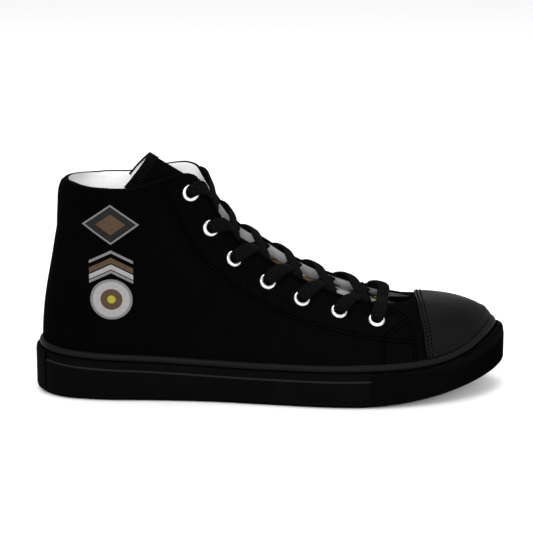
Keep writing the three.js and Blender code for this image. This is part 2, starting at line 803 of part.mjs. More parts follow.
// Rows of the free top of the tongue, from share a to share b of the way to its top edge.
function tongueTopRows(a, b, steps) {
  const from = tongueRow(TONGUE_LAST_RIB);
  const to = tongueTopRow(from.length);
  return Array.from({ length: steps + 1 }, (_, i) => {
    const share = THREE.MathUtils.lerp(a, b, i / steps);
    return from.map((point, k) => point.clone().lerp(to[k], share));
  });
}

// Normals of a grid of points, by its neighbouring points.
function gridNormals(rows) {
  const lastRow = rows.length - 1;
  const lastColumn = rows[0].length - 1;
  return rows.map((row, i) => row.map((_, j) => {
    const along = rows[Math.min(i + 1, lastRow)][j].clone().sub(rows[Math.max(i - 1, 0)][j]);
    const across = rows[i][Math.min(j + 1, lastColumn)].clone().sub(rows[i][Math.max(j - 1, 0)]);
    return along.cross(across).normalize();
  }));
}

// A sheet of the tongue: its rows run up and back, and its columns across from the inner side.
function thicken(sheetRows, outward, inward) {
  const rows = sheetRows.map((row) => [...row].reverse());
  const normals = gridNormals(rows);
  const move = (offset) => rows.map((row, i) => row.map((point, j) => (
    point.clone().addScaledVector(normals[i][j], offset)
  )));
  return sheetGeometry(move(outward), move(-inward), false);
}

const bindingShare = (() => {
  const from = tongueRow(TONGUE_LAST_RIB);
  const middle = (from.length - 1) / 2;
  return BINDING_WIDTH / from[middle].distanceTo(tongueTopRow(from.length)[middle]);
})();

function makeTongue() {
  const rows = [...tongueRows(), ...tongueTopRows(0, 1 - bindingShare - 0.01, 3).slice(1)];
  return thicken(rows, 0, TONGUE_THICK);
}

function makeBinding() {
  return thicken(tongueTopRows(1 - bindingShare, 1, 1), BINDING_PROUD, TONGUE_THICK + BINDING_PROUD);
}

// A flat lace through a few points, each with the direction that its face looks in.
function makeStrap(stops) {
  const path = new THREE.CatmullRomCurve3(stops.map((stop) => stop.point), false, "centripetal");
  const faces = new THREE.CatmullRomCurve3(stops.map((stop) => stop.out), false, "centripetal");
  const steps = 2 * (stops.length - 1);
  const rings = Array.from({ length: steps + 1 }, (_, i) => {
    const centre = path.getPoint(i / steps);
    const out = faces.getPoint(i / steps).normalize();
    const across = path.getTangent(i / steps).cross(out).normalize();
    const at = (w, h) => centre.clone()
      .addScaledVector(across, (w * LACE_WIDTH) / 2)
      .addScaledVector(out, (h * LACE_THICK) / 2);
    return [at(-1, -0.8), at(1, -0.8), at(0.8, 1), at(-0.8, 1)];
  });
  return solidOf(sweepGeometry(rings, false));
}

const LACE_OVER_EDGE = EYELET_SEAT + 3 * GAP + LACE_THICK / 2;
const LACE_OVER_THROAT = TONGUE_CROWN + LACE_THICK / 2 + GAP;

function eyeletAt(side, index) {
  return eyelets.find((eyelet) => eyelet.side === side && eyelet.index === index);
}

// Where a lace on a flap stops, beside the flange of its eyelet.
function besideEyelet(side, index) {
  const { centre, edge, r, v } = eyeletAt(side, index);
  const share = (EYELET_FLANGE + 2 * GAP) / form(partner(edge, side), 1).distanceTo(centre);
  const rib = partner(THREE.MathUtils.lerp(r, edge, share), side);
  const height = THREE.MathUtils.lerp(v, 1, share);
  return { point: skin(rib, height, LACE_OVER_EDGE), out: formNormal(rib, height) };
}

function overEdge(side, rib) {
  const r = partner(rib, side);
  return { point: skin(r, 1, LACE_OVER_EDGE), out: formNormal(r, 1) };
}

function overThroat(rib) {
  const { point, out } = throatCentre(rib);
  return { point: point.addScaledVector(out, LACE_OVER_THROAT), out };
}

// The lace comes out from under one flap, clear of the flap and of the tongue.
function underEdge(side, rib) {
  const r = partner(rib, side);
  const depth = UPPER_WALL + 2 * GAP + LACE_THICK / 2;
  return { point: skin(r, 0.95, -depth), out: formNormal(r, 0.95) };
}

function insideEdge(side, rib) {
  const edge = form(partner(rib, side), 1);
  const { point, out } = throatCentre(rib);
  return { point: edge.lerp(point, 0.4).addScaledVector(out, -GAP), out };
}

function makeBar() {
  const last = EYELETS.length - 1;
  const rib = eyeletAt(-1, last).edge;
  return geometryFrom(makeStrap([
    besideEyelet(-1, last), overEdge(-1, rib), overThroat(rib), overEdge(1, rib), besideEyelet(1, last),
  ]));
}

// Two laces that cross between one pair of eyelets and the next: each comes out from under a
// flap at the lower pair and lies over the other flap at the upper pair.
function makeCrossing(upper) {
  const strap = (side) => {
    const low = eyeletAt(side, upper + 1).edge;
    const high = eyeletAt(-side, upper).edge;
    const start = THREE.MathUtils.lerp(low, high, 0.3);
    const end = THREE.MathUtils.lerp(high, low, 0.08);
    return makeStrap([
      underEdge(side, start),
      insideEdge(side, THREE.MathUtils.lerp(start, end, 0.15)),
      overThroat((start + end) / 2),
      overEdge(-side, end),
      besideEyelet(-side, upper),
    ]);
  };
  return geometryFrom(strap(-1).add(strap(1)));
}

function makeEyelet() {
  const depth = EYELET_SEAT + UPPER_WALL;
  const profile = [
    [EYELET_BORE, -depth],
    [EYELET_BARREL, -depth],
    [EYELET_BARREL, 2 * GAP],
    [EYELET_FLANGE, 2 * GAP],
    [(EYELET_FLANGE + EYELET_BARREL) / 2, EYELET_PROUD],
    [EYELET_BORE + GAP, EYELET_PROUD],
    [EYELET_BORE, -depth],
  ];
  return new THREE.LatheGeometry(profile.map(([r, h]) => new THREE.Vector2(r, h)), HOLE_SIDES);
}

function finish(colour, roughness, metalness) {
  return () => new THREE.MeshStandardMaterial({ color: new THREE.Color(colour), roughness, metalness });
}

const canvas = finish("#0b0b0c", 0.92, 0);
const binding = finish("#101012", 0.85, 0);
const rubber = finish("#131314", 0.62, 0);
const beadRubber = finish("#1d1d1e", 0.5, 0);
const smoothLeather = finish("#1b1b1c", 0.45, 0);
const laceCloth = finish("#1a1a1b", 0.88, 0);
const metal = finish("#c4c3c0", 0.3, 1);
const insoleCloth = finish("#dcdad5", 0.9, 0);

const group = new THREE.Group();

function place(name, geometry, material) {
  const mesh = new THREE.Mesh(geometry, material());
  mesh.name = name;
  group.add(mesh);
  return mesh;
}

place("outsole", makeOutsole(), rubber);
place("midsole", makeMidsole(), rubber);
place("toe_bumper", makeWrap(BUMPER_START * LENGTH + GAP, 2 * LENGTH, 0.2), rubber);
place("heel_patch", makeWrap(-LENGTH, HEEL_PATCH_END * LENGTH - GAP, 0.2), rubber);
place("welt_bead", makeBead(), beadRubber);
place("insole", makeInsole(), insoleCloth);
place("upper", makeUpper(), canvas);
place("toe_cap", makeToeCap(), smoothLeather);
place("eyestay_lateral", makeEyestay(-1), canvas);
place("eyestay_medial", makeEyestay(1), canvas);
place("tongue", makeTongue(), canvas);
place("tongue_binding", makeBinding(), binding);
place("lace_bar", makeBar(), laceCloth);
for (let i = 0; i + 1 < EYELETS.length; i += 1) {
  place(`lace_crossing_${i + 1}`, makeCrossing(i), laceCloth);
}
for (const eyelet of eyelets) {
  const name = `eyelet_${eyelet.side < 0 ? "lateral" : "medial"}_${eyelet.index + 1}`;
  const mesh = place(name, makeEyelet(), metal);
  orient(mesh, eyelet.centre.clone().addScaledVector(eyelet.normal, EYELET_SEAT), eyelet.normal);
}

// The origin is at the middle of the sole's box, on the floor.
const box = new THREE.Box3().setFromObject(group);
const middle = box.getCenter(new THREE.Vector3());
group.position.set(-middle.x, -middle.y, 0);

export default group;
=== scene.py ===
"""High top sneaker for the right foot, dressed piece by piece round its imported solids."""

import math

import bpy
import numpy as np
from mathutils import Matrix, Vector


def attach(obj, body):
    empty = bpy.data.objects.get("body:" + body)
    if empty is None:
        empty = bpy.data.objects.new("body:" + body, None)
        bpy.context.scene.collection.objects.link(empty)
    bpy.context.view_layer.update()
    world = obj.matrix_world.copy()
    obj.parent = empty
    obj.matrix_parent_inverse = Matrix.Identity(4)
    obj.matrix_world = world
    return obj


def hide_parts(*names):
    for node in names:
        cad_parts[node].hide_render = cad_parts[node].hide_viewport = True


bl_info = {
    "name": "High Top Sneaker",
    "version": (1, 0, 0),
    "blender": (4, 5, 0),
    "location": "3D View > Sidebar > Sneaker",
    "description": "Builds a laced canvas high top sneaker, one piece at a time",
    "category": "Add Mesh",
}

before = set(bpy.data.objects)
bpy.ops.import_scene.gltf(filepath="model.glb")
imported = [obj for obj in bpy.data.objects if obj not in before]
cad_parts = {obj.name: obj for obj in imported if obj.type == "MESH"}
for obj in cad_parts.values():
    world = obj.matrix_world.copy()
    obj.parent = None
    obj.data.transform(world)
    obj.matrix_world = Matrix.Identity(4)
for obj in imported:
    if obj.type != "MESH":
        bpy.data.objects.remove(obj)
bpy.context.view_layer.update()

# Overall sizes, in metres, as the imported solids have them
LENGTH = 0.295
BALL_WIDTH = 0.106
COLLAR_HEIGHT = 0.137
COLLAR_WIDTH = 0.060
TOE_HEIGHT = 0.0574
THROAT_GAP = 0.034
GAP = 0.0003
HEEL_X = -0.1475
CENTRE_Y = -0.001136

# How far the throat's inner edge stands over the outer one, and the shares of LENGTH between which
# that grows from the collar and fades to the toe.
INNER_RISE = 0.0032
RISE_GROWS, RISE_FADES = (0.36, 0.46), (0.8, 0.69)

# Sole
SOLE_HEIGHT = 0.0282
TOE_SPRING = 0.015
SPRING_START = 0.678
SPRING_POWER = 1.75
OUTSOLE_THICK = 0.0055
OUTSOLE_EDGE = 0.003
TREAD_DEPTH = 0.0018
TREAD_RIM = 0.007
LUG_LENGTH = 0.0075
LUG_PITCH = 0.013
LUG_SLANT = 0.007
LUG_ROUND = 0.0006
LUG_ZONES = ((0.06, 0.33), (0.43, 0.93))
CUP_WALL = 0.0034
STEP_DROP = 0.0055
STEP_IN = 0.0009
HEEL_FLOOR = 0.014
BALL_FLOOR = 0.0105
FLOOR_SLOPE = (0.2, 0.6)
BUMPER_THICK = 0.0016
BUMPER_START = 0.709
HEEL_PATCH_END = 0.024
BEAD_HEIGHT = 0.0044
BEAD_WIDTH = 0.0024

# Upper
UPPER_WALL = 0.002
UPPER_INSET = CUP_WALL + GAP + 0.0008
OVERLAY_THICK = 0.0012
INSOLE_THICK = 0.004

# Tongue
TONGUE_THICK = 0.003
TONGUE_CROWN = 0.0035
TONGUE_ABOVE_COLLAR = 0.012
TONGUE_BACK = 0.247
TONGUE_ARM_BACK = 0.2
TONGUE_ARM_DROP = 0.005
TONGUE_FRONT_LAP = 0.008
TONGUE_SIDE = 0.83
TONGUE_FIRST_RIB = 18
TONGUE_LAST_RIB = 9
BINDING_WIDTH = 0.006
BINDING_PROUD = 0.0005

# Laces and eyelets
LACE_WIDTH = 0.0074
LACE_THICK = 0.0022
EYELET_FLANGE = 0.00525
EYELET_BARREL = 0.0033
EYELET_BORE = 0.0027
EYELET_HOLE = 0.0036
EYELET_HOLE_REACH = 0.008
EYELET_PROUD = 0.0012
EYELET_SEAT = GAP + OVERLAY_THICK
TONGUE_DROP = UPPER_WALL + LACE_THICK + 10 * GAP

# Plan of the sole: x as a share of LENGTH, then the half widths of the outer and the inner side
# as shares of BALL_WIDTH.
PLAN = (
    (0, 0, 0), (0.017, 0.17, 0.17), (0.061, 0.276, 0.272), (0.136, 0.33, 0.325),
    (0.254, 0.346, 0.335), (0.373, 0.372, 0.344), (0.492, 0.428, 0.388), (0.61, 0.482, 0.46),
    (0.695, 0.492, 0.505), (0.78, 0.465, 0.508), (0.864, 0.392, 0.458), (0.932, 0.276, 0.358),
    (0.976, 0.14, 0.23), (1, -0.05, 0.05),
)

# Top line of the sole's side: x as a share of LENGTH, height as a share of SOLE_HEIGHT.
SIDE_LINE = (
    (0, 1), (0.108, 0.91), (0.254, 0.848), (0.393, 0.785), (0.519, 0.773), (0.68, 0.782),
    (0.8, 0.82), (0.871, 0.915), (0.925, 1.075), (0.959, 1.235), (1, 1.42),
)

# Ribs of the upper from the heel to the flap's corner: foot, x, top, half, lean, rise, crown,
# reach. Foot and x are shares of LENGTH, top of COLLAR_HEIGHT and half of COLLAR_WIDTH. Lean and
# crown are the angles at the rib's two ends, rise and reach the shares of its span they hold for.
COLLAR_RIBS = (
    (0, 0.055, 0.988, 0, 2, 0.48, 0, 0.46),
    (0.017, 0.063, 0.987, 0.205, 2, 0.47, 0, 0.46),
    (0.061, 0.092, 0.984, 0.372, 2, 0.45, -1, 0.44),
    (0.136, 0.139, 0.981, 0.472, 2, 0.42, -3, 0.4),
    (0.21, 0.197, 0.978, 0.5, 2, 0.4, -3, 0.38),
    (0.278, 0.254, 0.993, 0.472, 2, 0.38, 0, 0.36),
    (0.33, 0.298, 1.014, 0.392, 2, 0.38, 8, 0.34),
    (0.362, 0.325, 1.021, 0.327, 2, 0.38, 16, 0.33),
)

# Ribs along the throat, in the same order. Top is the share of the way from TOE_HEIGHT up to
# COLLAR_HEIGHT, and half a share of THROAT_GAP.
THROAT_RIBS = (
    (0.386, 0.344, 1.012, 0.518, 2, 0.39, 24, 0.32),
    (0.41, 0.36, 0.918, 0.5, 2, 0.4, 33, 0.32),
    (0.443, 0.393, 0.71, 0.5, 2.5, 0.41, 42, 0.32),
    (0.48, 0.434, 0.5, 0.5, 3, 0.42, 50, 0.32),
    (0.527, 0.483, 0.385, 0.5, 3.5, 0.43, 55, 0.32),
    (0.583, 0.544, 0.24, 0.5, 4, 0.43, 58, 0.34),
    (0.645, 0.61, 0.12, 0.5, 4, 0.43, 62, 0.37),
    (0.71, 0.68, 0.03, 0.5, 4, 0.43, 66, 0.4),
    (0.773, 0.741, -0.012, 0.466, 4, 0.43, 72, 0.44),
    (0.834, 0.771, -0.008, 0.38, 3.5, 0.43, 79, 0.48),
    (0.892, 0.788, -0.003, 0.27, 3, 0.43, 84, 0.52),
    (0.942, 0.797, 0, 0.17, 2, 0.43, 87, 0.55),
    (0.979, 0.8, 0, 0.083, 1, 0.43, 88, 0.57),
    (1, 0.801, 0, 0, 1, 0.43, 88, 0.58),
)

# Eyelet centres from the top down: x as a share of LENGTH, and the share of the way from
# TOE_HEIGHT up to COLLAR_HEIGHT.
EYELETS = (
    (0.334, 0.893), (0.373, 0.626), (0.421, 0.387), (0.492, 0.211), (0.563, 0.073),
    (0.641, -0.027), (0.72, -0.095),
)

# Rear edge of the toe cap in plan: x as a share of LENGTH, y as a share of BALL_WIDTH.
TOE_CAP_LINE = ((0.807, 0), (0.812, 0.25), (0.838, 0.6))


def unit(vectors):
    """Vectors of length one, along the last axis."""
    return vectors / np.maximum(np.linalg.norm(vectors, axis=-1, keepdims=True), 1e-12)


def smooth(low, high, value):
    """Soft step from 0 below low to 1 above high."""
    share = np.clip((np.asarray(value, float) - low) / (high - low), 0, 1)
    return share * share * (3 - 2 * share)


def lerp(a, b, share):
    return a + (b - a) * share


def eased(values, passes):
    """The values with all but the first and the last smoothed."""
    values = values.copy()
    for _ in range(passes):
        values[1:-1] = (values[:-2] + 2 * values[1:-1] + values[2:]) / 4
    return values


class Spline:
    """Centripetal Catmull-Rom curve through points, open or closed, for many parameters at once."""

    def __init__(self, points, closed):
        self.points = np.asarray(points, float)
        self.closed = closed
        before, after = 2 * self.points[0] - self.points[1], 2 * self.points[-1] - self.points[-2]
        self.ends = np.vstack([before, self.points, after])

    def at(self, share):
        share = np.asarray(share, float)
        count = len(self.points)
        if self.closed:
            place = (share % 1) * count
            i = np.floor(place).astype(int)
            knots = [self.points[(i + k) % count] for k in (-1, 0, 1, 2)]
        else:
            place = np.clip(share, 0, 1) * (count - 1)
            i = np.minimum(np.floor(place).astype(int), count - 2)
            knots = [self.ends[i + k] for k in range(4)]
        w = (place - i)[..., None]
        p0, p1, p2, p3 = knots
        gaps = [np.sqrt(np.linalg.norm(b - a, axis=-1))[..., None] for a, b in ((p0, p1), (p1, p2), (p2, p3))]
        g1 = np.where(gaps[1] < 1e-6, 1.0, gaps[1])
        g0 = np.where(gaps[0] < 1e-6, g1, gaps[0])
        g2 = np.where(gaps[2] < 1e-6, g1, gaps[2])
        t1 = ((p1 - p0) / g0 - (p2 - p0) / (g0 + g1) + (p2 - p1) / g1) * g1
        t2 = ((p2 - p1) / g1 - (p3 - p1) / (g1 + g2) + (p3 - p2) / g2) * g1
        return (p1 + t1 * w + (3 * (p2 - p1) - 2 * t1 - t2) * w ** 2
                + (2 * (p1 - p2) + t1 + t2) * w ** 3)


def table_curve(table):
    """Smooth curve through a table's second column, with its first column as the place."""
    xs, ys = np.array(table, float).T
    slopes = np.array([
        (ys[min(i + 1, len(xs) - 1)] - ys[max(i - 1, 0)]) / (xs[min(i + 1, len(xs) - 1)] - xs[max(i - 1, 0)])
        for i in range(len(xs))
    ])

    def curve(share):
        x = np.clip(share, xs[0], xs[-1])
        i = np.clip(np.searchsorted(xs, x, side="left") - 1, 0, len(xs) - 2)
        width = xs[i + 1] - xs[i]
        u = (x - xs[i]) / width
        return (ys[i] * (1 - u) ** 2 * (1 + 2 * u) + ys[i + 1] * u ** 2 * (3 - 2 * u)
                + width * (slopes[i] * u * (1 - u) ** 2 - slopes[i + 1] * u ** 2 * (1 - u)))

    return curve


side_share = table_curve(SIDE_LINE)


def spring(x):
    """Height of the sole's underside at distance x from the heel."""
    share = np.maximum(0, (np.asarray(x) / LENGTH - SPRING_START) / (1 - SPRING_START))
    return TOE_SPRING * share ** SPRING_POWER


def wall_top(x):
    return SOLE_HEIGHT * side_share(np.asarray(x) / LENGTH)


def cup_floor(x):
    return spring(x) + lerp(HEEL_FLOOR, BALL_FLOOR, smooth(*FLOOR_SLOPE, np.asarray(x) / LENGTH))


def risen(share):
    return lerp(TOE_HEIGHT, COLLAR_HEIGHT, share)


plan_curve = Spline(
    [(x * LENGTH, -outer * BALL_WIDTH, 0) for x, outer, _ in PLAN]
    + [(x * LENGTH, inner * BALL_WIDTH, 0) for x, _, inner in PLAN[-2:0:-1]],
    True,
)


def plan_inward(t):
    along = unit(plan_curve.at(t + 1e-3) - plan_curve.at(t - 1e-3))
    return np.stack([-along[..., 1], along[..., 0], np.zeros_like(along[..., 0])], -1)


def plan_share(x, side):
    """Share of the plan's loop at distance x from the heel, on the outer (-1) or inner side (1)."""
    low, high = 0.0, 0.5
    for _ in range(40):
        middle = (low + high) / 2
        if plan_curve.at(np.array(middle if side < 0 else 1 - middle))[0] < x:
            low = middle
        else:
            high = middle
    return low if side < 0 else 1 - low


def plan_at(t, inset):
    return plan_curve.at(t) + plan_inward(t) * np.asarray(inset)[..., None]


def rib_controls(row, top, side):
    """The four control points of one rib of the upper."""
    foot_share, _, _, _, lean, rise, crown, reach = row
    t = np.array(plan_share(foot_share * LENGTH, side))
    inward = plan_inward(t)
    foot = plan_at(t, UPPER_INSET)
    foot[2] = cup_floor(plan_at(t, 0)[0]) + GAP
    span = np.linalg.norm(foot - top)
    up = np.array([0, 0, 1.0])
    lean, crown = math.radians(lean), math.radians(crown)
    low = foot + rise * span * (math.cos(lean) * up - math.sin(lean) * inward)
    high = top - reach * span * (math.cos(crown) * up + math.sin(crown) * inward)
    return np.array([foot, low, high, top])


def collar_rib(row, side):
    _, x, top, half = row[:4]
    return rib_controls(row, np.array([x * LENGTH, side * half * COLLAR_WIDTH, top * COLLAR_HEIGHT]), side)


def throat_height(x, share, side):
    """Height at a share of the way up the throat: its inner edge stands higher over the instep."""
    along = x / LENGTH
    rise = 0 if side < 0 else smooth(*RISE_GROWS, along) * smooth(*RISE_FADES, along)
    return risen(share) + INNER_RISE * rise


def throat_rib(row, side):
    _, x, top, half = row[:4]
    height = throat_height(x * LENGTH, top, side)
    return rib_controls(row, np.array([x * LENGTH, side * half * THROAT_GAP, height]), side)


RIBS = np.array(
    [collar_rib(row, -1) for row in COLLAR_RIBS]
    + [throat_rib(row, -1) for row in THROAT_RIBS]
    + [throat_rib(row, 1) for row in THROAT_RIBS[-2::-1]]
    + [collar_rib(row, 1) for row in COLLAR_RIBS[:0:-1]]
)
RIB_COUNT = len(RIBS)
TOE_RIB = len(COLLAR_RIBS) + len(THROAT_RIBS) - 1
rib_curves = [Spline(RIBS[:, k], True) for k in range(4)]


def form(r, v):
    """The upper's outer form at rib r, counted round from the heel, and share v of its height."""
    r, v = np.broadcast_arrays(np.asarray(r, float), np.asarray(v, float))
    a, b, c, d = (curve.at(r / RIB_COUNT) for curve in rib_curves)
    v = v[..., None]
    w = 1 - v
    return a * w ** 3 + b * 3 * w * w * v + c * 3 * w * v * v + d * v ** 3


def form_normal(r, v):
    dr, dv = 0.05, 0.01
    r, v = np.broadcast_arrays(np.asarray(r, float), np.asarray(v, float))
    along = form(r + dr, v) - form(r - dr, v)
    upward = form(r, np.minimum(v + dv, 1)) - form(r, np.maximum(v - dv, 0))
    return unit(np.cross(along, upward))


def skin(r, v, offset):
    return form(r, v) + form_normal(r, v) * np.asarray(offset)[..., None]


def partner(r, side):
    """Rib r on the outer side, or its mirror on the inner side."""
    return r if side < 0 else RIB_COUNT - r


def find_in_side_view(x, z, side):
    """Rib and height share at which the form passes x and z, seen from the side."""
    r, v = TOE_RIB / 2, 0.8
    for _ in range(12):
        low, high = 1, TOE_RIB - 1
        for _ in range(24):
            r = (low + high) / 2
            low, high = (r, high) if form(partner(r, side), v)[0] < x else (low, r)
        low, high = 0.2, 1
        for _ in range(24):
            v = (low + high) / 2
            low, high = (v, high) if form(partner(r, side), v)[2] < z else (low, v)
    return r, v


def height_share(r, z):
    """Height share at which each rib of r passes height z."""
    r, z = np.broadcast_arrays(np.asarray(r, float), np.asarray(z, float))
    low, high = np.zeros_like(r), np.full_like(r, 0.6)
    for _ in range(30):
        middle = (low + high) / 2
        below = form(r, middle)[..., 2] < z
        low, high = np.where(below, middle, low), np.where(below, high, middle)
    return low


def edge_x(points):
    """The x of the plan's edge nearest to each point."""
    edge = plan_curve.at(np.arange(600) / 600)[:, :2]
    distance = np.linalg.norm(points[..., None, :2] - edge, axis=-1)
    return edge[np.argmin(distance, axis=-1), 0]


def locate(x, z, side):
    """Ribs and height shares at which the form passes many points of the side view."""
    ribs = np.linspace(0.5, TOE_RIB - 0.2, 120)
    shares = np.linspace(0, 1, 60)
    grid_r, grid_v = np.meshgrid(ribs, shares, indexing="ij")
    points = form(partner(grid_r, side), grid_v)
    x, z = np.asarray(x, float), np.asarray(z, float)
    distance = (points[None, ..., 0] - x[:, None, None]) ** 2 + (points[None, ..., 2] - z[:, None, None]) ** 2
    best = distance.reshape(len(x), -1).argmin(1)
    r, v = grid_r.ravel()[best], grid_v.ravel()[best]
    target = np.stack([x, z], -1)
    step = 1e-3
    for _ in range(6):
        here = form(partner(r, side), v)[:, [0, 2]]
        by_r = (form(partner(r + step, side), v)[:, [0, 2]] - here) / step
        by_v = (form(partner(r, side), v + step)[:, [0, 2]] - here) / step
        miss = target - here
        det = by_r[:, 0] * by_v[:, 1] - by_r[:, 1] * by_v[:, 0]
        det = np.where(np.abs(det) < 1e-7, 1e-7, det)
        r = r + np.clip((miss[:, 0] * by_v[:, 1] - miss[:, 1] * by_v[:, 0]) / det, -1, 1)
        v = np.clip(v + np.clip((by_r[:, 0] * miss[:, 1] - by_r[:, 1] * miss[:, 0]) / det, -0.1, 0.1), 0, 1)
    return r, v


# Meshes

SHARP_ANGLE = math.radians(50)
CLOTH_ROUND = 0.0008


def in_row_frame(points):
    """From distances off the heel to the row's own frame."""
    return np.asarray(points, float) + np.array([HEEL_X, CENTRE_Y, 0])


def mesh_object(name, points, faces, uvs, finishes, face_finish=None):
    """New object from points, faces and one UV pair for each face corner."""
    mesh = bpy.data.meshes.new(name)
    mesh.from_pydata(in_row_frame(points).tolist(), [], [list(face) for face in faces])
    layer = mesh.uv_layers.new(name="UVMap")
    layer.data.foreach_set("uv", np.asarray(uvs, np.float32).ravel())
    for finish in finishes:
        mesh.materials.append(finish)
    if face_finish is not None:
        mesh.polygons.foreach_set("material_index", np.asarray(face_finish, np.int32))
    mesh.shade_smooth()
    mesh.set_sharp_from_angle(angle=SHARP_ANGLE)
    mesh.update()
    piece = bpy.data.objects.new(name, mesh)
    bpy.context.scene.collection.objects.link(piece)
    return piece


def grid_faces(points, uv, wrap_rows=False, wrap_columns=False, caps=False, across=(), keep=None):
    """Faces of a grid, their UV corners and the columns they stand in. Rows run along and columns
    up, seen from outside. The uv grid has one more row or column where the grid wraps. caps closes
    the ends of a grid whose columns wrap, and across closes its first (0) or last (-1) column from
    side to side."""
    rows, columns = points.shape[:2]
    row_starts, column_starts = np.arange(rows - (not wrap_rows)), np.arange(columns - (not wrap_columns))
    i, j = np.meshgrid(row_starts, column_starts, indexing="ij")
    if keep is not None:
        i, j = i[keep], j[keep]
    corners = ((i, j), (i + 1, j), (i + 1, j + 1), (i, j + 1))
    faces = np.stack([(a % rows) * columns + b % columns for a, b in corners], -1).reshape(-1, 4)
    uvs = np.stack([uv[a, b] for a, b in corners], -2).reshape(-1, 4, 2)
    faces, uvs = faces.tolist(), uvs.reshape(-1, 2).tolist()
    if caps:
        for row, flip in ((0, False), (rows - 1, True)):
            for k in range(columns // 2 - 1):
                quad = [k, k + 1, columns - 2 - k, columns - 1 - k]
                quad = quad[::-1] if flip else quad
                faces.append([row * columns + c for c in quad])
                uvs += [uv[row, c].tolist() for c in quad]
    for column in across:
        for k in range(rows // 2):
            quad = [k % rows, (rows - k) % rows, rows - k - 1, k + 1]
            quad = quad if column == 0 else quad[::-1]
            quad = [c for n, c in enumerate(quad) if c not in quad[:n]]
            if len(quad) > 2:
                c = column % columns
                faces.append([q * columns + c for q in quad])
                uvs += [points[q, c, :2].tolist() for q in quad]
    return faces, uvs, j.ravel()


def surface(name, points, uv, finishes, finish_of=None, **options):
    """Object over a grid of points. finish_of gives a face's finish from its column."""
    faces, uvs, face_columns = grid_faces(points, uv, **options)
    chosen = None
    if finish_of is not None:
        chosen = np.zeros(len(faces), int)
        chosen[:len(face_columns)] = finish_of(face_columns)
    return mesh_object(name, points.reshape(-1, 3), faces, uvs, finishes, chosen)


def joined(name, parts, finishes):
    """One object from several grids, each a (points, uv, options) triple."""
    points, faces, uvs, count = [], [], [], 0
    for grid, uv, options in parts:
        more_faces, more_uvs, _ = grid_faces(grid, uv, **options)
        faces += [[index + count for index in face] for face in more_faces]
        uvs += more_uvs
        points.append(grid.reshape(-1, 3))
        count += grid.shape[0] * grid.shape[1]
    return mesh_object(name, np.vstack(points), faces, uvs, finishes)


def arc_lengths(points, wrap=False):
    """Length along the first axis of a grid or a line, from its first point."""
    steps = np.linalg.norm(np.diff(points, axis=0), axis=-1)
    if wrap:
        steps = np.concatenate([steps, np.linalg.norm(points[:1] - points[-1:], axis=-1)])
    return np.concatenate([np.zeros_like(steps[:1]), np.cumsum(steps, axis=0)])


def cloth_uv(points, wrap_rows=False, wrap_columns=False):
    """UV in metres over a grid: along its middle column, and up along its own rows."""
    middle = points[:, points.shape[1] // 2]
    along = arc_lengths(middle, wrap_rows)
    up = arc_lengths(points.transpose(1, 0, 2), wrap_columns).T
    if wrap_rows:
        up = np.vstack([up, up[:1]])
    return np.stack([np.broadcast_to(along[:, None], up.shape), up], -1)


def softened(piece, width, segments=2):
    """The piece with its sharp edges rounded."""
    bevel = piece.modifiers.new("bevel", "BEVEL")
    bevel.width, bevel.segments = width, segments
    bevel.limit_method, bevel.angle_limit = "ANGLE", SHARP_ANGLE
    graph = bpy.context.evaluated_depsgraph_get()
    mesh = bpy.data.meshes.new_from_object(piece.evaluated_get(graph))
    piece.modifiers.clear()
    sharp_mesh = piece.data
    piece.data = mesh
    bpy.data.meshes.remove(sharp_mesh)
    mesh.shade_smooth()
    mesh.set_sharp_from_angle(angle=SHARP_ANGLE)
    return piece


def dress(piece, slot, *nodes):
    """Puts a finished piece on the shoe, in place of its solids."""
    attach(piece, "root")
    if nodes:
        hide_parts(*nodes)


def sheet_grid(outer, inner):
    """Closed section of a sheet from its outer and its inner face."""
    return np.concatenate([outer, inner[:, ::-1]], axis=1)


# Shader maths

class Value:
    """A node's output, with the usual operators for the maths of a finish."""

    def __init__(self, finish, socket):
        self.finish = finish
        self.socket = socket

    def math(self, operation, *others):
        values = dict(enumerate((self, *others)))
        return self.finish.node("ShaderNodeMath", {"operation": operation}, values)

    def __add__(self, other):
        return self.math("ADD", other)

    def __sub__(self, other):
        return self.math("SUBTRACT", other)

    def __mul__(self, other):
        return self.math("MULTIPLY", other)

    def __rsub__(self, other):
        return self.finish.node("ShaderNodeMath", {"operation": "SUBTRACT"}, {0: other, 1: self})

    __radd__ = __add__

    def sine(self):
        return self.math("SINE")

    def wave(self, period):
        """0 to 1 and back over each period."""
        return (self * (2 * math.pi / period)).sine() * 0.5 + 0.5

    def size(self):
        return self.math("ABSOLUTE")

    def step(self, low, high):
        """Soft step from 0 at low to 1 at high."""
        return self.finish.node(
            "ShaderNodeMapRange", {"interpolation_type": "SMOOTHSTEP"},
            {"Value": self, "From Min": low, "From Max": high, "To Min": 0.0, "To Max": 1.0},
        )


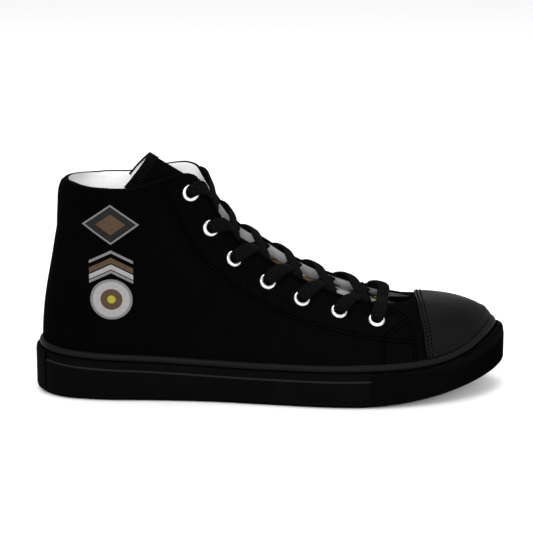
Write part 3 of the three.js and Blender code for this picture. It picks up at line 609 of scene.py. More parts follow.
class Finish:
    """A material that is put together node by node round one Principled shader."""

    def __init__(self, name, **uniform):
        self.material = bpy.data.materials.new(name)
        self.material.use_nodes = True
        self.tree = self.material.node_tree
        self.tree.nodes.clear()
        self.shader = self.tree.nodes.new("ShaderNodeBsdfPrincipled")
        output = self.tree.nodes.new("ShaderNodeOutputMaterial")
        self.tree.links.new(self.shader.outputs[0], output.inputs["Surface"])
        for socket, value in uniform.items():
            self.shader.inputs[socket.replace("_", " ").title().replace("Ior", "IOR")].default_value = value
        place = self.node("ShaderNodeSeparateXYZ", {}, {0: self.node("ShaderNodeUVMap", {"uv_map": "UVMap"})})
        self.u = Value(self, place.socket.node.outputs["X"])
        self.v = Value(self, place.socket.node.outputs["Y"])
        self.place = self.node("ShaderNodeTexCoord", {}, {}, "Object")

    def node(self, kind, settings=None, sockets=None, output=0):
        """Output of a new node, after its settings and then its sockets are set."""
        node = self.tree.nodes.new(kind)
        for name, value in (settings or {}).items():
            if name == "stops":
                ramp = node.color_ramp
                ramp.interpolation = "CONSTANT"
                while len(ramp.elements) < len(value):
                    ramp.elements.new(0.5)
                for element, (position, colour) in zip(ramp.elements, value):
                    element.position = position
                    element.color = (*colour, 1)
            else:
                setattr(node, name, value)
        for key, value in (sockets or {}).items():
            self.feed(node.inputs[key], value)
        return Value(self, node.outputs[output])

    def feed(self, socket, value):
        if isinstance(value, Value):
            self.tree.links.new(value.socket, socket)
        elif socket.type == "RGBA" and len(value) == 3:
            socket.default_value = (*value, 1)
        else:
            socket.default_value = value

    def noise(self, scale, detail=2.0, roughness=0.5, vector=None):
        return self.node(
            "ShaderNodeTexNoise", {"noise_dimensions": "3D"},
            {"Vector": vector or self.place, "Scale": scale, "Detail": detail, "Roughness": roughness},
        )

    def mix(self, share, first, second):
        """Colour between two colours."""
        return self.node(
            "ShaderNodeMix", {"data_type": "RGBA", "clamp_factor": True},
            {"Factor": share, 6: first, 7: second}, 2,
        )

    def bumps(self, *layers):
        """Feeds the shader's normal from (height, distance in metres) layers."""
        normal = None
        for height, distance in layers:
            sockets = {"Height": height, "Distance": distance, "Strength": 1.0}
            if normal is not None:
                sockets["Normal"] = normal
            normal = self.node("ShaderNodeBump", {}, sockets)
        self.feed(self.shader.inputs["Normal"], normal)

    def done(self, colour, roughness=None):
        self.feed(self.shader.inputs["Base Color"], colour)
        if roughness is not None:
            self.feed(self.shader.inputs["Roughness"], roughness)
        return self.material


# Places on the upper that other pieces share

def edge_rib(point, side):
    """The rib whose end on the throat's edge is nearest to a point."""
    ribs = np.arange(len(COLLAR_RIBS), TOE_RIB, 0.02)
    return ribs[np.linalg.norm(form(partner(ribs, side), 1.0) - point, axis=-1).argmin()]


def find_eyelets():
    found = []
    for side in (-1, 1):
        for index, (x, rise) in enumerate(EYELETS):
            r, v = find_in_side_view(x * LENGTH, throat_height(x * LENGTH, rise, side), side)
            rib = partner(r, side)
            centre, normal = form(rib, v), form_normal(rib, v)
            found.append({
                "side": side, "index": index, "r": r, "v": v, "centre": centre, "normal": normal,
                "edge": edge_rib(centre, side),
            })
    return found


eyelets = find_eyelets()


def eyelet_at(side, index):
    return next(e for e in eyelets if e["side"] == side and e["index"] == index)


def clear_of_eyelets(points):
    """True for each point that isn't inside an eyelet's hole."""
    clear = np.ones(points.shape[:-1], bool)
    for eyelet in eyelets:
        away = points - eyelet["centre"]
        depth = away @ eyelet["normal"]
        across = np.linalg.norm(away - depth[..., None] * eyelet["normal"], axis=-1)
        clear &= (across > EYELET_HOLE) | (np.abs(depth) > EYELET_HOLE_REACH)
    return clear


def face_centres(points, wrap_rows=False):
    following = np.roll(points, -1, 0) if wrap_rows else points[1:]
    here = points if wrap_rows else points[:-1]
    return (here[:, :-1] + here[:, 1:] + following[:, :-1] + following[:, 1:]) / 4


def throat_centre(r):
    """Middle of the throat at rib r, and the direction out of it."""
    def middle(rib):
        return (form(rib, 1.0) + form(partner(rib, 1), 1.0)) / 2
    r = np.asarray(r, float)
    along = unit(middle(r - 0.3) - middle(r + 0.3))
    out = np.stack([along[..., 2], np.zeros_like(r), -along[..., 0]], -1)
    return middle(r), out


# Seams

STITCH_LIFT = 0.00016
TOE_STITCH_LIFT = 0.00005
SEAM_GAP = 0.0019
SEAM_MARGIN = 0.0026

# Seams in the side view, as distances from the heel and heights: the eyestay's long seam and the
# one over its top, then the diagonal, the level and the upright seam ahead of it, and the seam
# along the quarter's front edge.
EYESTAY_SEAM = (
    (0.0812, 0.1362), (0.0871, 0.1216), (0.0899, 0.1169), (0.0954, 0.1059), (0.1014, 0.097),
    (0.1076, 0.0894), (0.1181, 0.0799), (0.1282, 0.0716), (0.1431, 0.0628), (0.1594, 0.055),
    (0.1839, 0.0475), (0.196, 0.0443), (0.2063, 0.0421), (0.2149, 0.0407), (0.2178, 0.0402),
)
TOP_SEAM = ((0.0812, 0.1362), (0.0875, 0.1372), (0.0941, 0.1376))
DIAGONAL_SEAM = ((0.2147, 0.0401), (0.2234, 0.0454), (0.2320, 0.0504))
LEVEL_SEAM = ((0.2154, 0.0405), (0.2254, 0.0397), (0.2366, 0.0386))
UPRIGHT_SEAM = ((0.2155, 0.0415), (0.2162, 0.0342), (0.2172, 0.0247))
QUARTER_SEAM = (
    (0.2201, 0.0538), (0.2243, 0.0532), (0.2291, 0.0516), (0.2317, 0.0493), (0.2338, 0.0461),
    (0.2347, 0.042), (0.2355, 0.0362), (0.2358, 0.0268),
)
EYESTAY_FIRST = 5.3
EYESTAY_LAST = 16.25
EDGE_SEAM_IN = 0.0022
EDGE_SEAM_FIRST = 7.7
EDGE_SEAM_LAST = 15.6

# Rows of stitches on the toe cap, as distances ahead of its rear edge, and their first rib.
TOE_SEAMS = (0.0016, 0.0038)
TOE_SEAM_FIRST = 15.9

# Sections of one stitch: share of its length, thickness and rise as shares of the thread's radius.
STITCH_SECTIONS = (
    (0.0, 0.25, -0.9), (0.18, 0.85, -0.1), (0.5, 1.0, 0.15), (0.82, 0.85, -0.1), (1.0, 0.25, -0.9),
)


def beside(line, distance):
    """The line moved sideways in the side view."""
    line = np.array(line)
    along = unit(np.gradient(line, axis=0))
    return line + np.stack([-along[:, 1], along[:, 0]], -1) * distance


# Upper

UPPER_ROWS = 588
UPPER_OUTER = 70
UPPER_INNER = 42
UPPER_EDGE = 5
THROAT_EDGE_WALL = 0.001
FLAP_RIB = 5.6
EYESTAY_ROUND = 0.0001
EYESTAY_FADE_UP = 0.008
EYESTAY_FADE_DOWN = 0.004
EYESTAY_EDGE_SHARE = 0.35
TOE_CAP_FIRST = 15.35
TOE_CAP_ROUND = 0.0005

# Roll of the collar's edge over the heel and its dip along the ankle: how deep, from which height
# share, and the ribs from the heel between which each grows or fades.
HEEL_ROLL, HEEL_ROLL_FROM, HEEL_FADES = 0.0048, 0.92, (3.6, 1.4)
ANKLE_DIP, ANKLE_DIP_FROM, ANKLE_GROWS, ANKLE_FADES = 0.0018, 0.85, (1.5, 3), (5.2, 4.2)

# Front edge of the quarter over the vamp in the side view: height, then distance from the heel.
QUARTER_EDGE = (
    (0.025, 0.2382), (0.03, 0.2382), (0.0362, 0.2379), (0.0425, 0.2372), (0.0475, 0.2357),
    (0.0505, 0.2338), (0.0535, 0.2302), (0.0553, 0.2262), (0.0565, 0.222), (0.064, 0.19),
)
QUARTER_LAP = 0.0006

# Ridge near the toe cap's foot: its height, its distance up from the foot and its half width.
TOE_RIDGE = 0.0005
TOE_RIDGE_UP = 0.0048
TOE_RIDGE_WIDTH = 0.0017

# Creases in the side view: two ends as distances from the heel and heights, then the half width
# and the height, which is below zero for a trough.
CREASES = (
    ((0.097, 0.095), (0.072, 0.083), 0.0050, -0.0006),
    ((0.104, 0.085), (0.080, 0.069), 0.0055, 0.0006),
    ((0.114, 0.074), (0.092, 0.055), 0.0055, -0.0006),
    ((0.166, 0.049), (0.178, 0.031), 0.0050, -0.0005),
    ((0.177, 0.047), (0.191, 0.030), 0.0050, 0.0005),
    ((0.190, 0.044), (0.203, 0.030), 0.0045, -0.0005),
    ((0.012, 0.103), (0.038, 0.112), 0.0045, -0.0004),
)


def canvas_height(points):
    """Distance that creases and the quarter's front edge lift the canvas, at points on it."""
    zs, xs = np.array(QUARTER_EDGE).T
    behind = np.interp(points[..., 2], zs, xs) - points[..., 0]
    height = QUARTER_LAP * smooth(-QUARTER_LAP, QUARTER_LAP, behind)
    seen = points[..., [0, 2]]
    for start, end, half_width, rise in CREASES:
        start, along = np.array(start), np.array(end) - np.array(start)
        share = np.clip((seen - start) @ along / (along @ along), 0, 1)
        away = np.linalg.norm(seen - start - share[..., None] * along, axis=-1)
        height = height + rise * np.exp(-(away / half_width) ** 2)
    return height


def collar_shift(r, v):
    """How far the collar's edge rolls in over the heel, and dips along the ankle."""
    from_heel = np.minimum(r, RIB_COUNT - r)
    share = np.clip((v - HEEL_ROLL_FROM) / (1 - HEEL_ROLL_FROM), 0, 1)
    roll = HEEL_ROLL * (1 - np.sqrt(1 - 0.98 * share ** 2)) * smooth(*HEEL_FADES, from_heel)
    dip = ANKLE_DIP * smooth(*ANKLE_GROWS, from_heel) * smooth(*ANKLE_FADES, from_heel)
    dip = dip * smooth(ANKLE_DIP_FROM, 1, v)
    inward = -form_normal(r, v) * np.array([1, 1, 0])
    return inward * roll[..., None] - np.array([0, 0, 1]) * (dip + 0.3 * roll)[..., None]


def make_upper(canvas, edge_tape, lining):
    r = np.arange(UPPER_ROWS)[:, None] * (RIB_COUNT / UPPER_ROWS)
    v = np.linspace(0, 1, UPPER_OUTER)[None]
    base = form(r, v)
    outer = base + form_normal(r, v) * canvas_height(base)[..., None] + collar_shift(r, v)
    v = np.linspace(0, 1, UPPER_INNER)[None]
    from_heel = np.minimum(r, RIB_COUNT - r)
    thinned = smooth(FLAP_RIB - 0.5, FLAP_RIB + 0.5, from_heel) * smooth(0.9, 1, v)
    inner = skin(r, v, -lerp(UPPER_WALL, THROAT_EDGE_WALL, thinned)) + collar_shift(r, v)
    top = (outer[:, -1:] + inner[:, -1:]) / 2
    half = (outer[:, -1:] - inner[:, -1:]) / 2
    rise = unit(outer[:, -1:] - outer[:, -2:-1])
    angles = np.linspace(0, np.pi, UPPER_EDGE + 2)[1:-1][None, :, None]
    rim = top + half * np.cos(angles) + rise * np.sin(angles) * UPPER_WALL * 0.35
    points = np.concatenate([outer, rim, inner[:, ::-1]], axis=1)
    keep = clear_of_eyelets(face_centres(points, True))
    uv = cloth_uv(points, True)
    middle = points[:, points.shape[1] // 2, None, 0]
    lean = (points[..., 0] - middle) * smooth(1.5, 4, from_heel) * np.where(r < TOE_RIB, 1, -1)
    uv[..., 0] += np.vstack([lean, lean[:1]])

    def finish_of(column):
        return np.where(column < UPPER_OUTER - 1, 0, np.where(column < UPPER_OUTER + UPPER_EDGE, 1, 2))

    return surface("upper_shell", points, uv, (canvas, edge_tape, lining), finish_of,
                   wrap_rows=True, keep=keep)


def overlay(name, outer, inner, finish, width, keep=None):
    """Sheet on the upper with a rounded edge."""
    points = sheet_grid(outer, inner)
    uv = cloth_uv(points, wrap_columns=True)
    uv[..., 0] = points[:, list(range(points.shape[1])) + [0], 0]
    piece = surface(name, points, uv, (finish,), wrap_columns=True, caps=True, keep=keep)
    return softened(piece, width)


def eyestay_lows(side):
    """Ribs along the eyestay, and the height share of its lower edge at each."""
    xs, zs = beside(EYESTAY_SEAM, -SEAM_MARGIN).T
    r = np.linspace(EYESTAY_FIRST, EYESTAY_LAST, 180)
    samples = np.linspace(1, 0.2, 400)
    points = form(partner(r[:, None], side), samples[None])
    line = np.interp(points[..., 0], xs, zs, left=COLLAR_HEIGHT)
    inside = points[..., 2] > line
    steps = np.argmin(inside, axis=1)
    steps = np.where(inside.all(axis=1), len(samples) - 1, np.maximum(steps, 2))
    return r, eased(samples[steps], 3)


def eyestay_lift(r, v, side):
    """Height of the eyestay's outer face over the canvas, and 0 off it."""
    rib = partner(r, side)
    span = np.linalg.norm(form(rib, 1.0) - form(rib, 0.95), axis=-1) / 0.05
    up, down = (v - np.interp(r, *eyestay_lows(side))) * span, (1 - v) * span
    lift = smooth(0, EYESTAY_FADE_UP, up) * lerp(EYESTAY_EDGE_SHARE, 1, smooth(0, EYESTAY_FADE_DOWN, down))
    lift = lift * smooth(EYESTAY_FIRST, 6.0, r) * smooth(EYESTAY_LAST, EYESTAY_LAST - 0.8, r)
    covered = (up > -1e-6) & (r >= EYESTAY_FIRST) & (r <= EYESTAY_LAST)
    return np.where(covered, lerp(GAP, EYELET_SEAT - QUARTER_LAP, lift), 0)


def make_eyestay(side, canvas):
    r, low = eyestay_lows(side)
    r, low = r[:, None], low[:, None]
    v = lerp(low, 1.0, np.linspace(0, 1, 30)[None])
    rib = partner(r, side)
    height = canvas_height(form(rib, v))
    outer, inner = skin(rib, v, height + eyestay_lift(r, v, side)), skin(rib, v, height - GAP)
    if side > 0:
        outer, inner = outer[::-1], inner[::-1]
    points = sheet_grid(outer, inner)
    closing = np.ones((points.shape[0] - 1, 1), bool)
    keep = np.concatenate([clear_of_eyelets(face_centres(points)), closing], axis=1)
    name = "eyestay_outer_side" if side < 0 else "eyestay_inner_side"
    return overlay(name, outer, inner, canvas, EYESTAY_ROUND, keep)


def toe_cap_reach(r, samples, low, margin=0):
    """Which ribs pass a margin ahead of the toe cap's rear edge above low, and the last sample of
    each that does."""
    xs, ys = np.array(TOE_CAP_LINE).T
    points = form(r[:, None], samples[None])
    line = np.interp(np.abs(points[..., 1]) / BALL_WIDTH, ys, xs) * LENGTH + margin
    ahead = (points[..., 0] > line) & (samples[None] >= low)
    return ahead.any(axis=1), samples[len(samples) - 1 - ahead[:, ::-1].argmax(axis=1)]


def make_toe_cap(leather):
    r = np.linspace(TOE_CAP_FIRST, RIB_COUNT - TOE_CAP_FIRST, 220)
    low = height_share(r, wall_top(edge_x(form(r, 0.0))) + BEAD_HEIGHT + 2 * GAP)
    reach, high = toe_cap_reach(r, np.linspace(0, 1, 300), low[:, None])
    high = np.where(reach, high, low)
    keep = high - low > 0.02
    r, low, high = r[keep, None], low[keep, None], eased(high[keep], 3)[:, None]
    v = lerp(low, high, np.linspace(0, 1, 46)[None])
    up = arc_lengths(form(r, v).transpose(1, 0, 2)).T
    ridge = TOE_RIDGE * np.exp(-((up - TOE_RIDGE_UP) / TOE_RIDGE_WIDTH) ** 2)
    outer = skin(r, v, GAP + OVERLAY_THICK + ridge * smooth(5, 3, np.abs(r - TOE_RIB)))
    inner = skin(r, v, np.full(v.shape, GAP / 2))
    return overlay("toe_cap_skin", outer, inner, leather, TOE_CAP_ROUND)


# Stitched seams

def thread_bed(r, v, side):
    """Points of the outermost cloth, lifted by half a thread, and their normals."""
    rib = partner(r, side)
    height = canvas_height(form(rib, v)) + eyestay_lift(r, v, side)
    return skin(rib, v, height + STITCH_LIFT), form_normal(rib, v)


def seam_in_view(line, side):
    """Points and normals of a seam drawn in the side view."""
    flat = Spline(np.column_stack([line, np.zeros(len(line))]), False).at(np.linspace(0, 1, 40 * len(line)))
    r, v = locate(flat[::8, 0], flat[::8, 1], side)
    spread = np.linspace(0, len(r) - 1, len(r) * 6)
    r, v = (np.interp(spread, np.arange(len(r)), values) for values in (r, v))
    return thread_bed(r, v, side)


def seam_on_edge(first, last, distance, side):
    """Points and normals of a seam that keeps its distance from the throat's edge."""
    r = np.linspace(first, last, 400)
    rib = partner(r, side)
    rise = np.linalg.norm(form(rib, 1.0) - form(rib, 0.97), axis=-1) / 0.03
    return thread_bed(r, 1 - distance / rise, side)


def stitch_grids(points, normals, length, pitch, radius):
    """One small sunk bar of thread for each stitch along a seam."""
    distance = arc_lengths(points)
    angles = np.arange(6)[:, None] * np.pi / 3
    nudge = 1e-4

    def at(place, values):
        return np.array([np.interp(place, distance, values[:, k]) for k in range(3)])

    grids = []
    for start in np.arange(0.3 * pitch, distance[-1] - length, pitch):
        rings = []
        for share, size, rise in STITCH_SECTIONS:
            place = start + share * length
            normal = at(place, normals)
            across = unit(np.cross(normal, at(place + nudge, points) - at(place - nudge, points)))
            centre = at(place, points) + normal * radius * rise
            rings.append(centre + radius * size * (np.cos(angles) * across + np.sin(angles) * normal))
        grid = np.array(rings)
        grids.append((grid, cloth_uv(grid, wrap_columns=True), {"wrap_columns": True}))
    return grids


def make_stitches(thread, length, pitch, radius):
    """All stitches of the upper's seams, on both sides."""
    grids = []
    for side in (-1, 1):
        seams = []
        for line in (EYESTAY_SEAM, TOP_SEAM, DIAGONAL_SEAM, LEVEL_SEAM, UPRIGHT_SEAM, QUARTER_SEAM):
            for distance in (-SEAM_GAP / 2, SEAM_GAP / 2):
                seams.append(seam_in_view(beside(line, distance), side))
        for distance in (EDGE_SEAM_IN, EDGE_SEAM_IN + SEAM_GAP):
            seams.append(seam_on_edge(EDGE_SEAM_FIRST, EDGE_SEAM_LAST, distance, side))
        for points, normals in seams:
            grids += stitch_grids(points, normals, length, pitch, radius)
    return joined("upper_stitches", grids, (thread,))


def make_toe_stitches(thread, length, pitch, radius):
    """Two rows of stitches along the toe cap's rear edge."""
    grids = []
    for margin in TOE_SEAMS:
        r = np.linspace(TOE_SEAM_FIRST, RIB_COUNT - TOE_SEAM_FIRST, 300)
        reach, v = toe_cap_reach(r, np.linspace(0.15, 1, 500), 0, margin)
        r, v = r[reach], eased(v[reach], 8)
        keep = (v > 0.2) & (v < 0.995)
        r, v = r[keep], v[keep]
        offset = np.full(r.shape, GAP + OVERLAY_THICK + TOE_STITCH_LIFT)
        grids += stitch_grids(skin(r, v, offset), form_normal(r, v), length, pitch, radius)
    return joined("toe_stitches", grids, (thread,))


# Print on the quarter

INKS = ("outline", "shade", "tan", "white", "yellow")
PRINT_SIDES = 96
PRINT_STEP = 0.0012

# Closed shapes in the side view: distance from the heel, height, half width, half height, power of
# the outline, which is 1 for a rhombus and 2 for a round, and rings of inner share, outer share and
# ink, by its place in INKS.
PRINT_SHAPES = (
    (0.050, 0.1105, 0.0175, 0.0125, 1, ((0.9, 1.0, 0), (0.52, 0.9, 1), (0.01, 0.52, 2))),
    (0.050, 0.0640, 0.0130, 0.0125, 2, ((0.88, 1.0, 0), (0.52, 0.88, 3), (0.2, 0.52, 2), (0.01, 0.2, 4))),
)

# Chevrons in the side view: height of the point, thickness, ink.
PRINT_CHEVRONS = ((0.0945, 0.0018, 0), (0.0900, 0.0034, 2), (0.0858, 0.0030, 3), (0.0822, 0.0018, 0))
CHEVRON_X, CHEVRON_HALF, CHEVRON_DROP = 0.050, 0.0135, 0.0065


def ink_patch(x, z, wrap):
    """Grid over the outer canvas at places of the side view, with its UV and options."""
    r, v = locate(x.ravel(), z.ravel(), -1)
    points = thread_bed(r, v, -1)[0].reshape(*x.shape, 3)
    uv = np.stack([x, z], -1)
    return points, np.vstack([uv, uv[:1]]) if wrap else uv, {"wrap_rows": wrap}


def make_print(inks):
    patches = [[] for _ in inks]
    turns = -np.arange(PRINT_SIDES)[:, None] * 2 * np.pi / PRINT_SIDES
    across, up = np.cos(turns), np.sin(turns)
    for x, z, half_width, half_height, power, rings in PRINT_SHAPES:
        reach = (np.abs(across) ** power + np.abs(up) ** power) ** (-1 / power)
        for inner, outer, ink in rings:
            count = 2 + int((outer - inner) * half_width / PRINT_STEP)
            share = np.linspace(inner, outer, count)[None] * reach
            patch = ink_patch(x + half_width * share * across, z + half_height * share * up, True)
            patches[ink].append(patch)
    along = np.linspace(-1, 1, 41)[:, None]
    for z, thickness, ink in PRINT_CHEVRONS:
        rise = np.linspace(-thickness, 0, 4)[None] - CHEVRON_DROP * np.abs(along)
        patches[ink].append(ink_patch(CHEVRON_X + CHEVRON_HALF * along + 0 * rise, z + rise, False))
    return [joined(f"quarter_print_{name}", parts, (ink,)) for name, parts, ink in zip(INKS, patches, inks)]


# Sole

SOLE_ROWS = 640
TOE_SLANT = 0.0045
TOE_SLANT_SPAN = (0.78, 0.97)
SHOULDER = (0.03, 0.09, 0.18, 0.31, 0.5, 0.75)
SIDE_LAP = 0.45
INSOLE_SPAN = (0.004, 0.496)
INSOLE_DISH = 0.0012


def rounding(inset, width):
    """1 at an edge and 0 from a width behind it, as a quarter round."""
    return 1 - np.sqrt(1 - (1 - np.clip(inset / width, 0, 1)) ** 2)


def toe_slant(x, inset):
    """How far the top of the sole's side rounds down over the toe, at an inset from its outline."""
    return TOE_SLANT * smooth(*np.array(TOE_SLANT_SPAN) * LENGTH, x) * rounding(inset, CUP_WALL)


def sole_section(insets, heights, t):
    """Grid round the sole: one column for each inset from the plan and height over its x."""
    edge = plan_at(t, 0)[..., 0]
    columns = []
    for inset, height in zip(insets, heights):
        column = plan_at(t, np.full(t.shape, inset) if np.isscalar(inset) else inset(edge))
        column[..., 2] = height(edge)
        columns.append(column)
    return np.stack(columns, axis=1)


def bead_rings(r, widths, heights):
    low = wall_top(edge_x(form(r, 0.0)))
    out = form_normal(r, height_share(r, low))
    out[..., 2] = 0
    out = unit(out)
    columns = []
    for width, height in zip(widths, heights):
        column = form(r, height_share(r, low + height)) + out * width
        column[..., 2] = low + height
        columns.append(column)
    return np.stack(columns, axis=1)


def make_bead(rubber):
    r = np.arange(520) * (RIB_COUNT / 520)
    angles = np.linspace(-0.5 * np.pi, 0.5 * np.pi, 12)
    widths = GAP / 2 + BEAD_WIDTH * np.cos(angles) ** 0.7
    heights = GAP + BEAD_HEIGHT * (0.5 + 0.5 * np.sin(angles))
    points = bead_rings(r, widths, heights)
    return surface("foot_bead", points, cloth_uv(points, True, True), (rubber,),
                   wrap_rows=True, wrap_columns=True)


def make_midsole(rubber, worn):
    seams = [plan_share(share * LENGTH, side) for share in (BUMPER_START, HEEL_PATCH_END) for side in (-1, 1)]
    sharp = [seam + nudge for seam in seams for nudge in (-1e-5, 1e-5)]
    t = np.sort(np.concatenate([np.arange(SOLE_ROWS) / SOLE_ROWS, sharp]))
    edge, behind = 0.0005, BUMPER_THICK + GAP

    def under_wraps(inset):
        return lambda x: np.maximum(inset, np.where(
            (x > BUMPER_START * LENGTH) | (x < HEEL_PATCH_END * LENGTH), behind, 0))

    def low(x):
        return spring(x) + OUTSOLE_THICK * SIDE_LAP

    def below_top(drop, inset=CUP_WALL):
        return lambda x: wall_top(x) - drop - toe_slant(x, inset)

    insets = [under_wraps(0), under_wraps(0), under_wraps(0.0002), under_wraps(STEP_IN),
              under_wraps(STEP_IN), under_wraps(STEP_IN + edge), CUP_WALL, CUP_WALL]
    heights = [low, below_top(STEP_DROP + edge), below_top(STEP_DROP), below_top(STEP_DROP - STEP_IN),
               below_top(edge, behind), below_top(0, behind), below_top(0), cup_floor]
    points = sole_section(insets, heights, t)
    # The ledge's faces (column 2) take the paler finish: a painted highlight along the step.
    return surface("foxing_side", points, cloth_uv(points, True), (rubber, worn),
                   lambda column: np.where(column == 2, 1, 0), wrap_rows=True, across=(0, -1))


def wrap_range(start_x, end_x):
    """Shares of the plan's loop over one end of the sole: the toe past start_x, or the heel."""
    if end_x is None:
        return np.linspace(plan_share(start_x, -1), plan_share(start_x, 1), 560)
    return np.linspace(plan_share(end_x, 1) - 1, plan_share(end_x, -1), 150)


def make_wrap(name, t, rubber, columns, relief):
    """Strip of rubber round one end of the sole, with a moulded pattern in its face."""
    proud = 0.0002
    edge = plan_at(t, 0)[..., 0]
    low, high = spring(edge) + OUTSOLE_THICK * SIDE_LAP, wall_top(edge)
    share = np.linspace(0, 1, columns)
    height = lerp(low[:, None], (high - STEP_IN - toe_slant(edge, 0))[:, None], share[None])
    along = arc_lengths(plan_at(t, 0))[:, None]
    lift = relief(along, height - low[:, None]) * smooth(0, 0.06, share) * smooth(1, 0.94, share)
    face = plan_at(np.repeat(t[:, None], columns, 1), -proud - lift)
    face[..., 2] = height
    inset = BUMPER_THICK * np.array(SHOULDER)
    shape = len(t), len(inset)
    shoulder = plan_at(np.broadcast_to(t[:, None], shape), np.broadcast_to(inset - proud, shape))
    slant = toe_slant(edge[:, None], inset[None])
    shoulder[..., 2] = high[:, None] - STEP_IN * rounding(inset, STEP_IN) - slant
    back = plan_at(np.repeat(t[:, None], 2, 1), np.full((len(t), 2), BUMPER_THICK))
    back[..., 2] = np.stack([high - toe_slant(edge, BUMPER_THICK), low], -1)
    points = np.concatenate([face, shoulder, back], axis=1)
    closed = points[:, list(range(points.shape[1])) + [0]]
    uv = np.stack([np.broadcast_to(along, closed.shape[:2]), closed[..., 2] - low[:, None]], -1)
    return surface(name, points, uv, (rubber,), wrap_columns=True, caps=True)


def knurl(pitch, depth):
    """Small diamonds in crossed rows."""
    def relief(along, up):
        first = np.cos(2 * np.pi * (along + up) / pitch)
        second = np.cos(2 * np.pi * (along - up) / pitch)
        return depth * smooth(-0.6, 0.9, np.minimum(first, second) * 0.5 + np.maximum(first, second) * 0.5)
    return relief


def make_outsole(rubber):
    t = np.arange(SOLE_ROWS) / SOLE_ROWS
    insets = (0.0004, 0.0004, 0.0003, OUTSOLE_EDGE * 0.25, OUTSOLE_EDGE * 0.7, OUTSOLE_EDGE,
              TREAD_RIM, TREAD_RIM)
    rises = (1, 0.75, 0.5, 0.3, 0.1, 0, 0, TREAD_DEPTH / OUTSOLE_THICK)
    heights = [lambda x, rise=rise: spring(x) + OUTSOLE_THICK * rise for rise in rises]
    points = sole_section(insets, heights, t)[:, ::-1]
    parts = [(points, cloth_uv(points, True), {"wrap_rows": True, "across": (0, -1)})]
    for start, end in LUG_ZONES:
        for i in range(int((end - start) * LENGTH / LUG_PITCH)):
            parts.append(lug_grid(start * LENGTH + i * LUG_PITCH))
    return joined("tread_plate", parts, (rubber,))


def lug_grid(x):
    """One chevron bar of the tread, cut to the field inside the sole's rim."""
    half = 0.6 * BALL_WIDTH
    y = np.linspace(-0.55, 0.55, 81) * BALL_WIDTH
    back = x + LUG_SLANT * (1 - np.abs(y) / half)
    rim = plan_at(np.arange(900) / 900, 0.9 * TREAD_RIM)
    outer, inner = rim[rim[:, 1] < 0], rim[rim[:, 1] > 0]
    outer, inner = outer[outer[:, 0].argsort()], inner[inner[:, 0].argsort()]
    fits = np.ones(len(y), bool)
    for place in (back, back + LUG_LENGTH):
        fits &= y > np.interp(place, outer[:, 0], outer[:, 1])
        fits &= y < np.interp(place, inner[:, 0], inner[:, 1])
    y, back = y[fits], back[fits]
    section = ((0, TREAD_DEPTH), (LUG_ROUND, 0), (LUG_LENGTH - LUG_ROUND, 0), (LUG_LENGTH, TREAD_DEPTH))
    columns = []
    for forward, rise in section:
        columns.append(np.stack([back + forward, y, spring(back + forward) + rise], -1))
    points = np.stack(columns, axis=1)[::-1]
    return points, points[..., :2], {"wrap_columns": False}


def make_insole(cloth):
    inset = UPPER_INSET + UPPER_WALL + 3 * GAP
    t = np.linspace(*INSOLE_SPAN, 150)
    edges = []
    for place in (t, 1 - t):
        edge = plan_at(place, inset)
        edge[..., 2] = cup_floor(plan_at(place, 0)[..., 0]) + GAP
        edges.append(edge)
    share = np.linspace(0, 1, 30)[None, :, None]
    bottom = edges[0][:, None] * (1 - share) + edges[1][:, None] * share
    dish = INSOLE_THICK - INSOLE_DISH * (1 - (2 * share[..., 0] - 1) ** 4)
    top = bottom.copy()
    top[..., 2] += dish
    points = sheet_grid(top, bottom)
    uv = cloth_uv(points, wrap_columns=True)
    return softened(surface("foot_bed", points, uv, (cloth,), wrap_columns=True, caps=True), CLOTH_ROUND, 3)


# Tongue

UNDER_FLAP = 9
ACROSS_THROAT = 26
PRINT_FROM, PRINT_TO = 0.022, 0.125
SUNK_UNDER_TAPE = 0.0004


def tongue_row(r):
    """Points across the tongue at each rib of r, under both flaps and over the throat."""
    r = np.asarray(r, float)[:, None]
    share = np.linspace(0, 1, UNDER_FLAP)[None]
    drop = lerp(UPPER_WALL + 3 * GAP, TONGUE_DROP, smooth(0, 1, share))
    near, far = (skin(partner(r, side), lerp(TONGUE_SIDE, 1.0, share), -drop) for side in (-1, 1))
    far = far[:, ::-1]
    _, out = throat_centre(r[:, 0])
    share = (np.arange(ACROSS_THROAT) + 1) / (ACROSS_THROAT + 1)
    crown = (TONGUE_CROWN * np.sin(np.pi * share) ** 1.3)[None, :, None]
    bridge = lerp(near[:, -1:], far[:, :1], share[None, :, None]) + out[:, None] * crown
    return np.concatenate([near, bridge, far], axis=1)


def tongue_top_row(count):
    inside = COLLAR_WIDTH / 2 - UPPER_WALL - TONGUE_THICK - 6 * GAP
    angle = np.linspace(-np.pi / 2, np.pi / 2, count)
    return np.stack([
        lerp(TONGUE_ARM_BACK, TONGUE_BACK, np.cos(angle)) * LENGTH,
        inside * np.sin(angle),
        lerp(COLLAR_HEIGHT - TONGUE_ARM_DROP, COLLAR_HEIGHT + TONGUE_ABOVE_COLLAR, np.cos(angle)),
    ], -1)


def tongue_free_rows(shares):
    start = tongue_row([TONGUE_LAST_RIB])[0]
    end = tongue_top_row(len(start))
    shares = np.asarray(shares)[:, None, None]
    return start[None] * (1 - shares) + end[None] * shares


def binding_share():
    start = tongue_row([TONGUE_LAST_RIB])[0]
    end = tongue_top_row(len(start))
    middle = len(start) // 2
    return BINDING_WIDTH / np.linalg.norm(end[middle] - start[middle])


def relaxed(grid, passes):
    """The grid with its inner points eased towards their neighbours."""
    grid = grid.copy()
    for _ in range(passes):
        grid[1:-1, 1:-1] = (4 * grid[1:-1, 1:-1] + grid[:-2, 1:-1] + grid[2:, 1:-1]
                            + grid[1:-1, :-2] + grid[1:-1, 2:]) / 8
    return grid


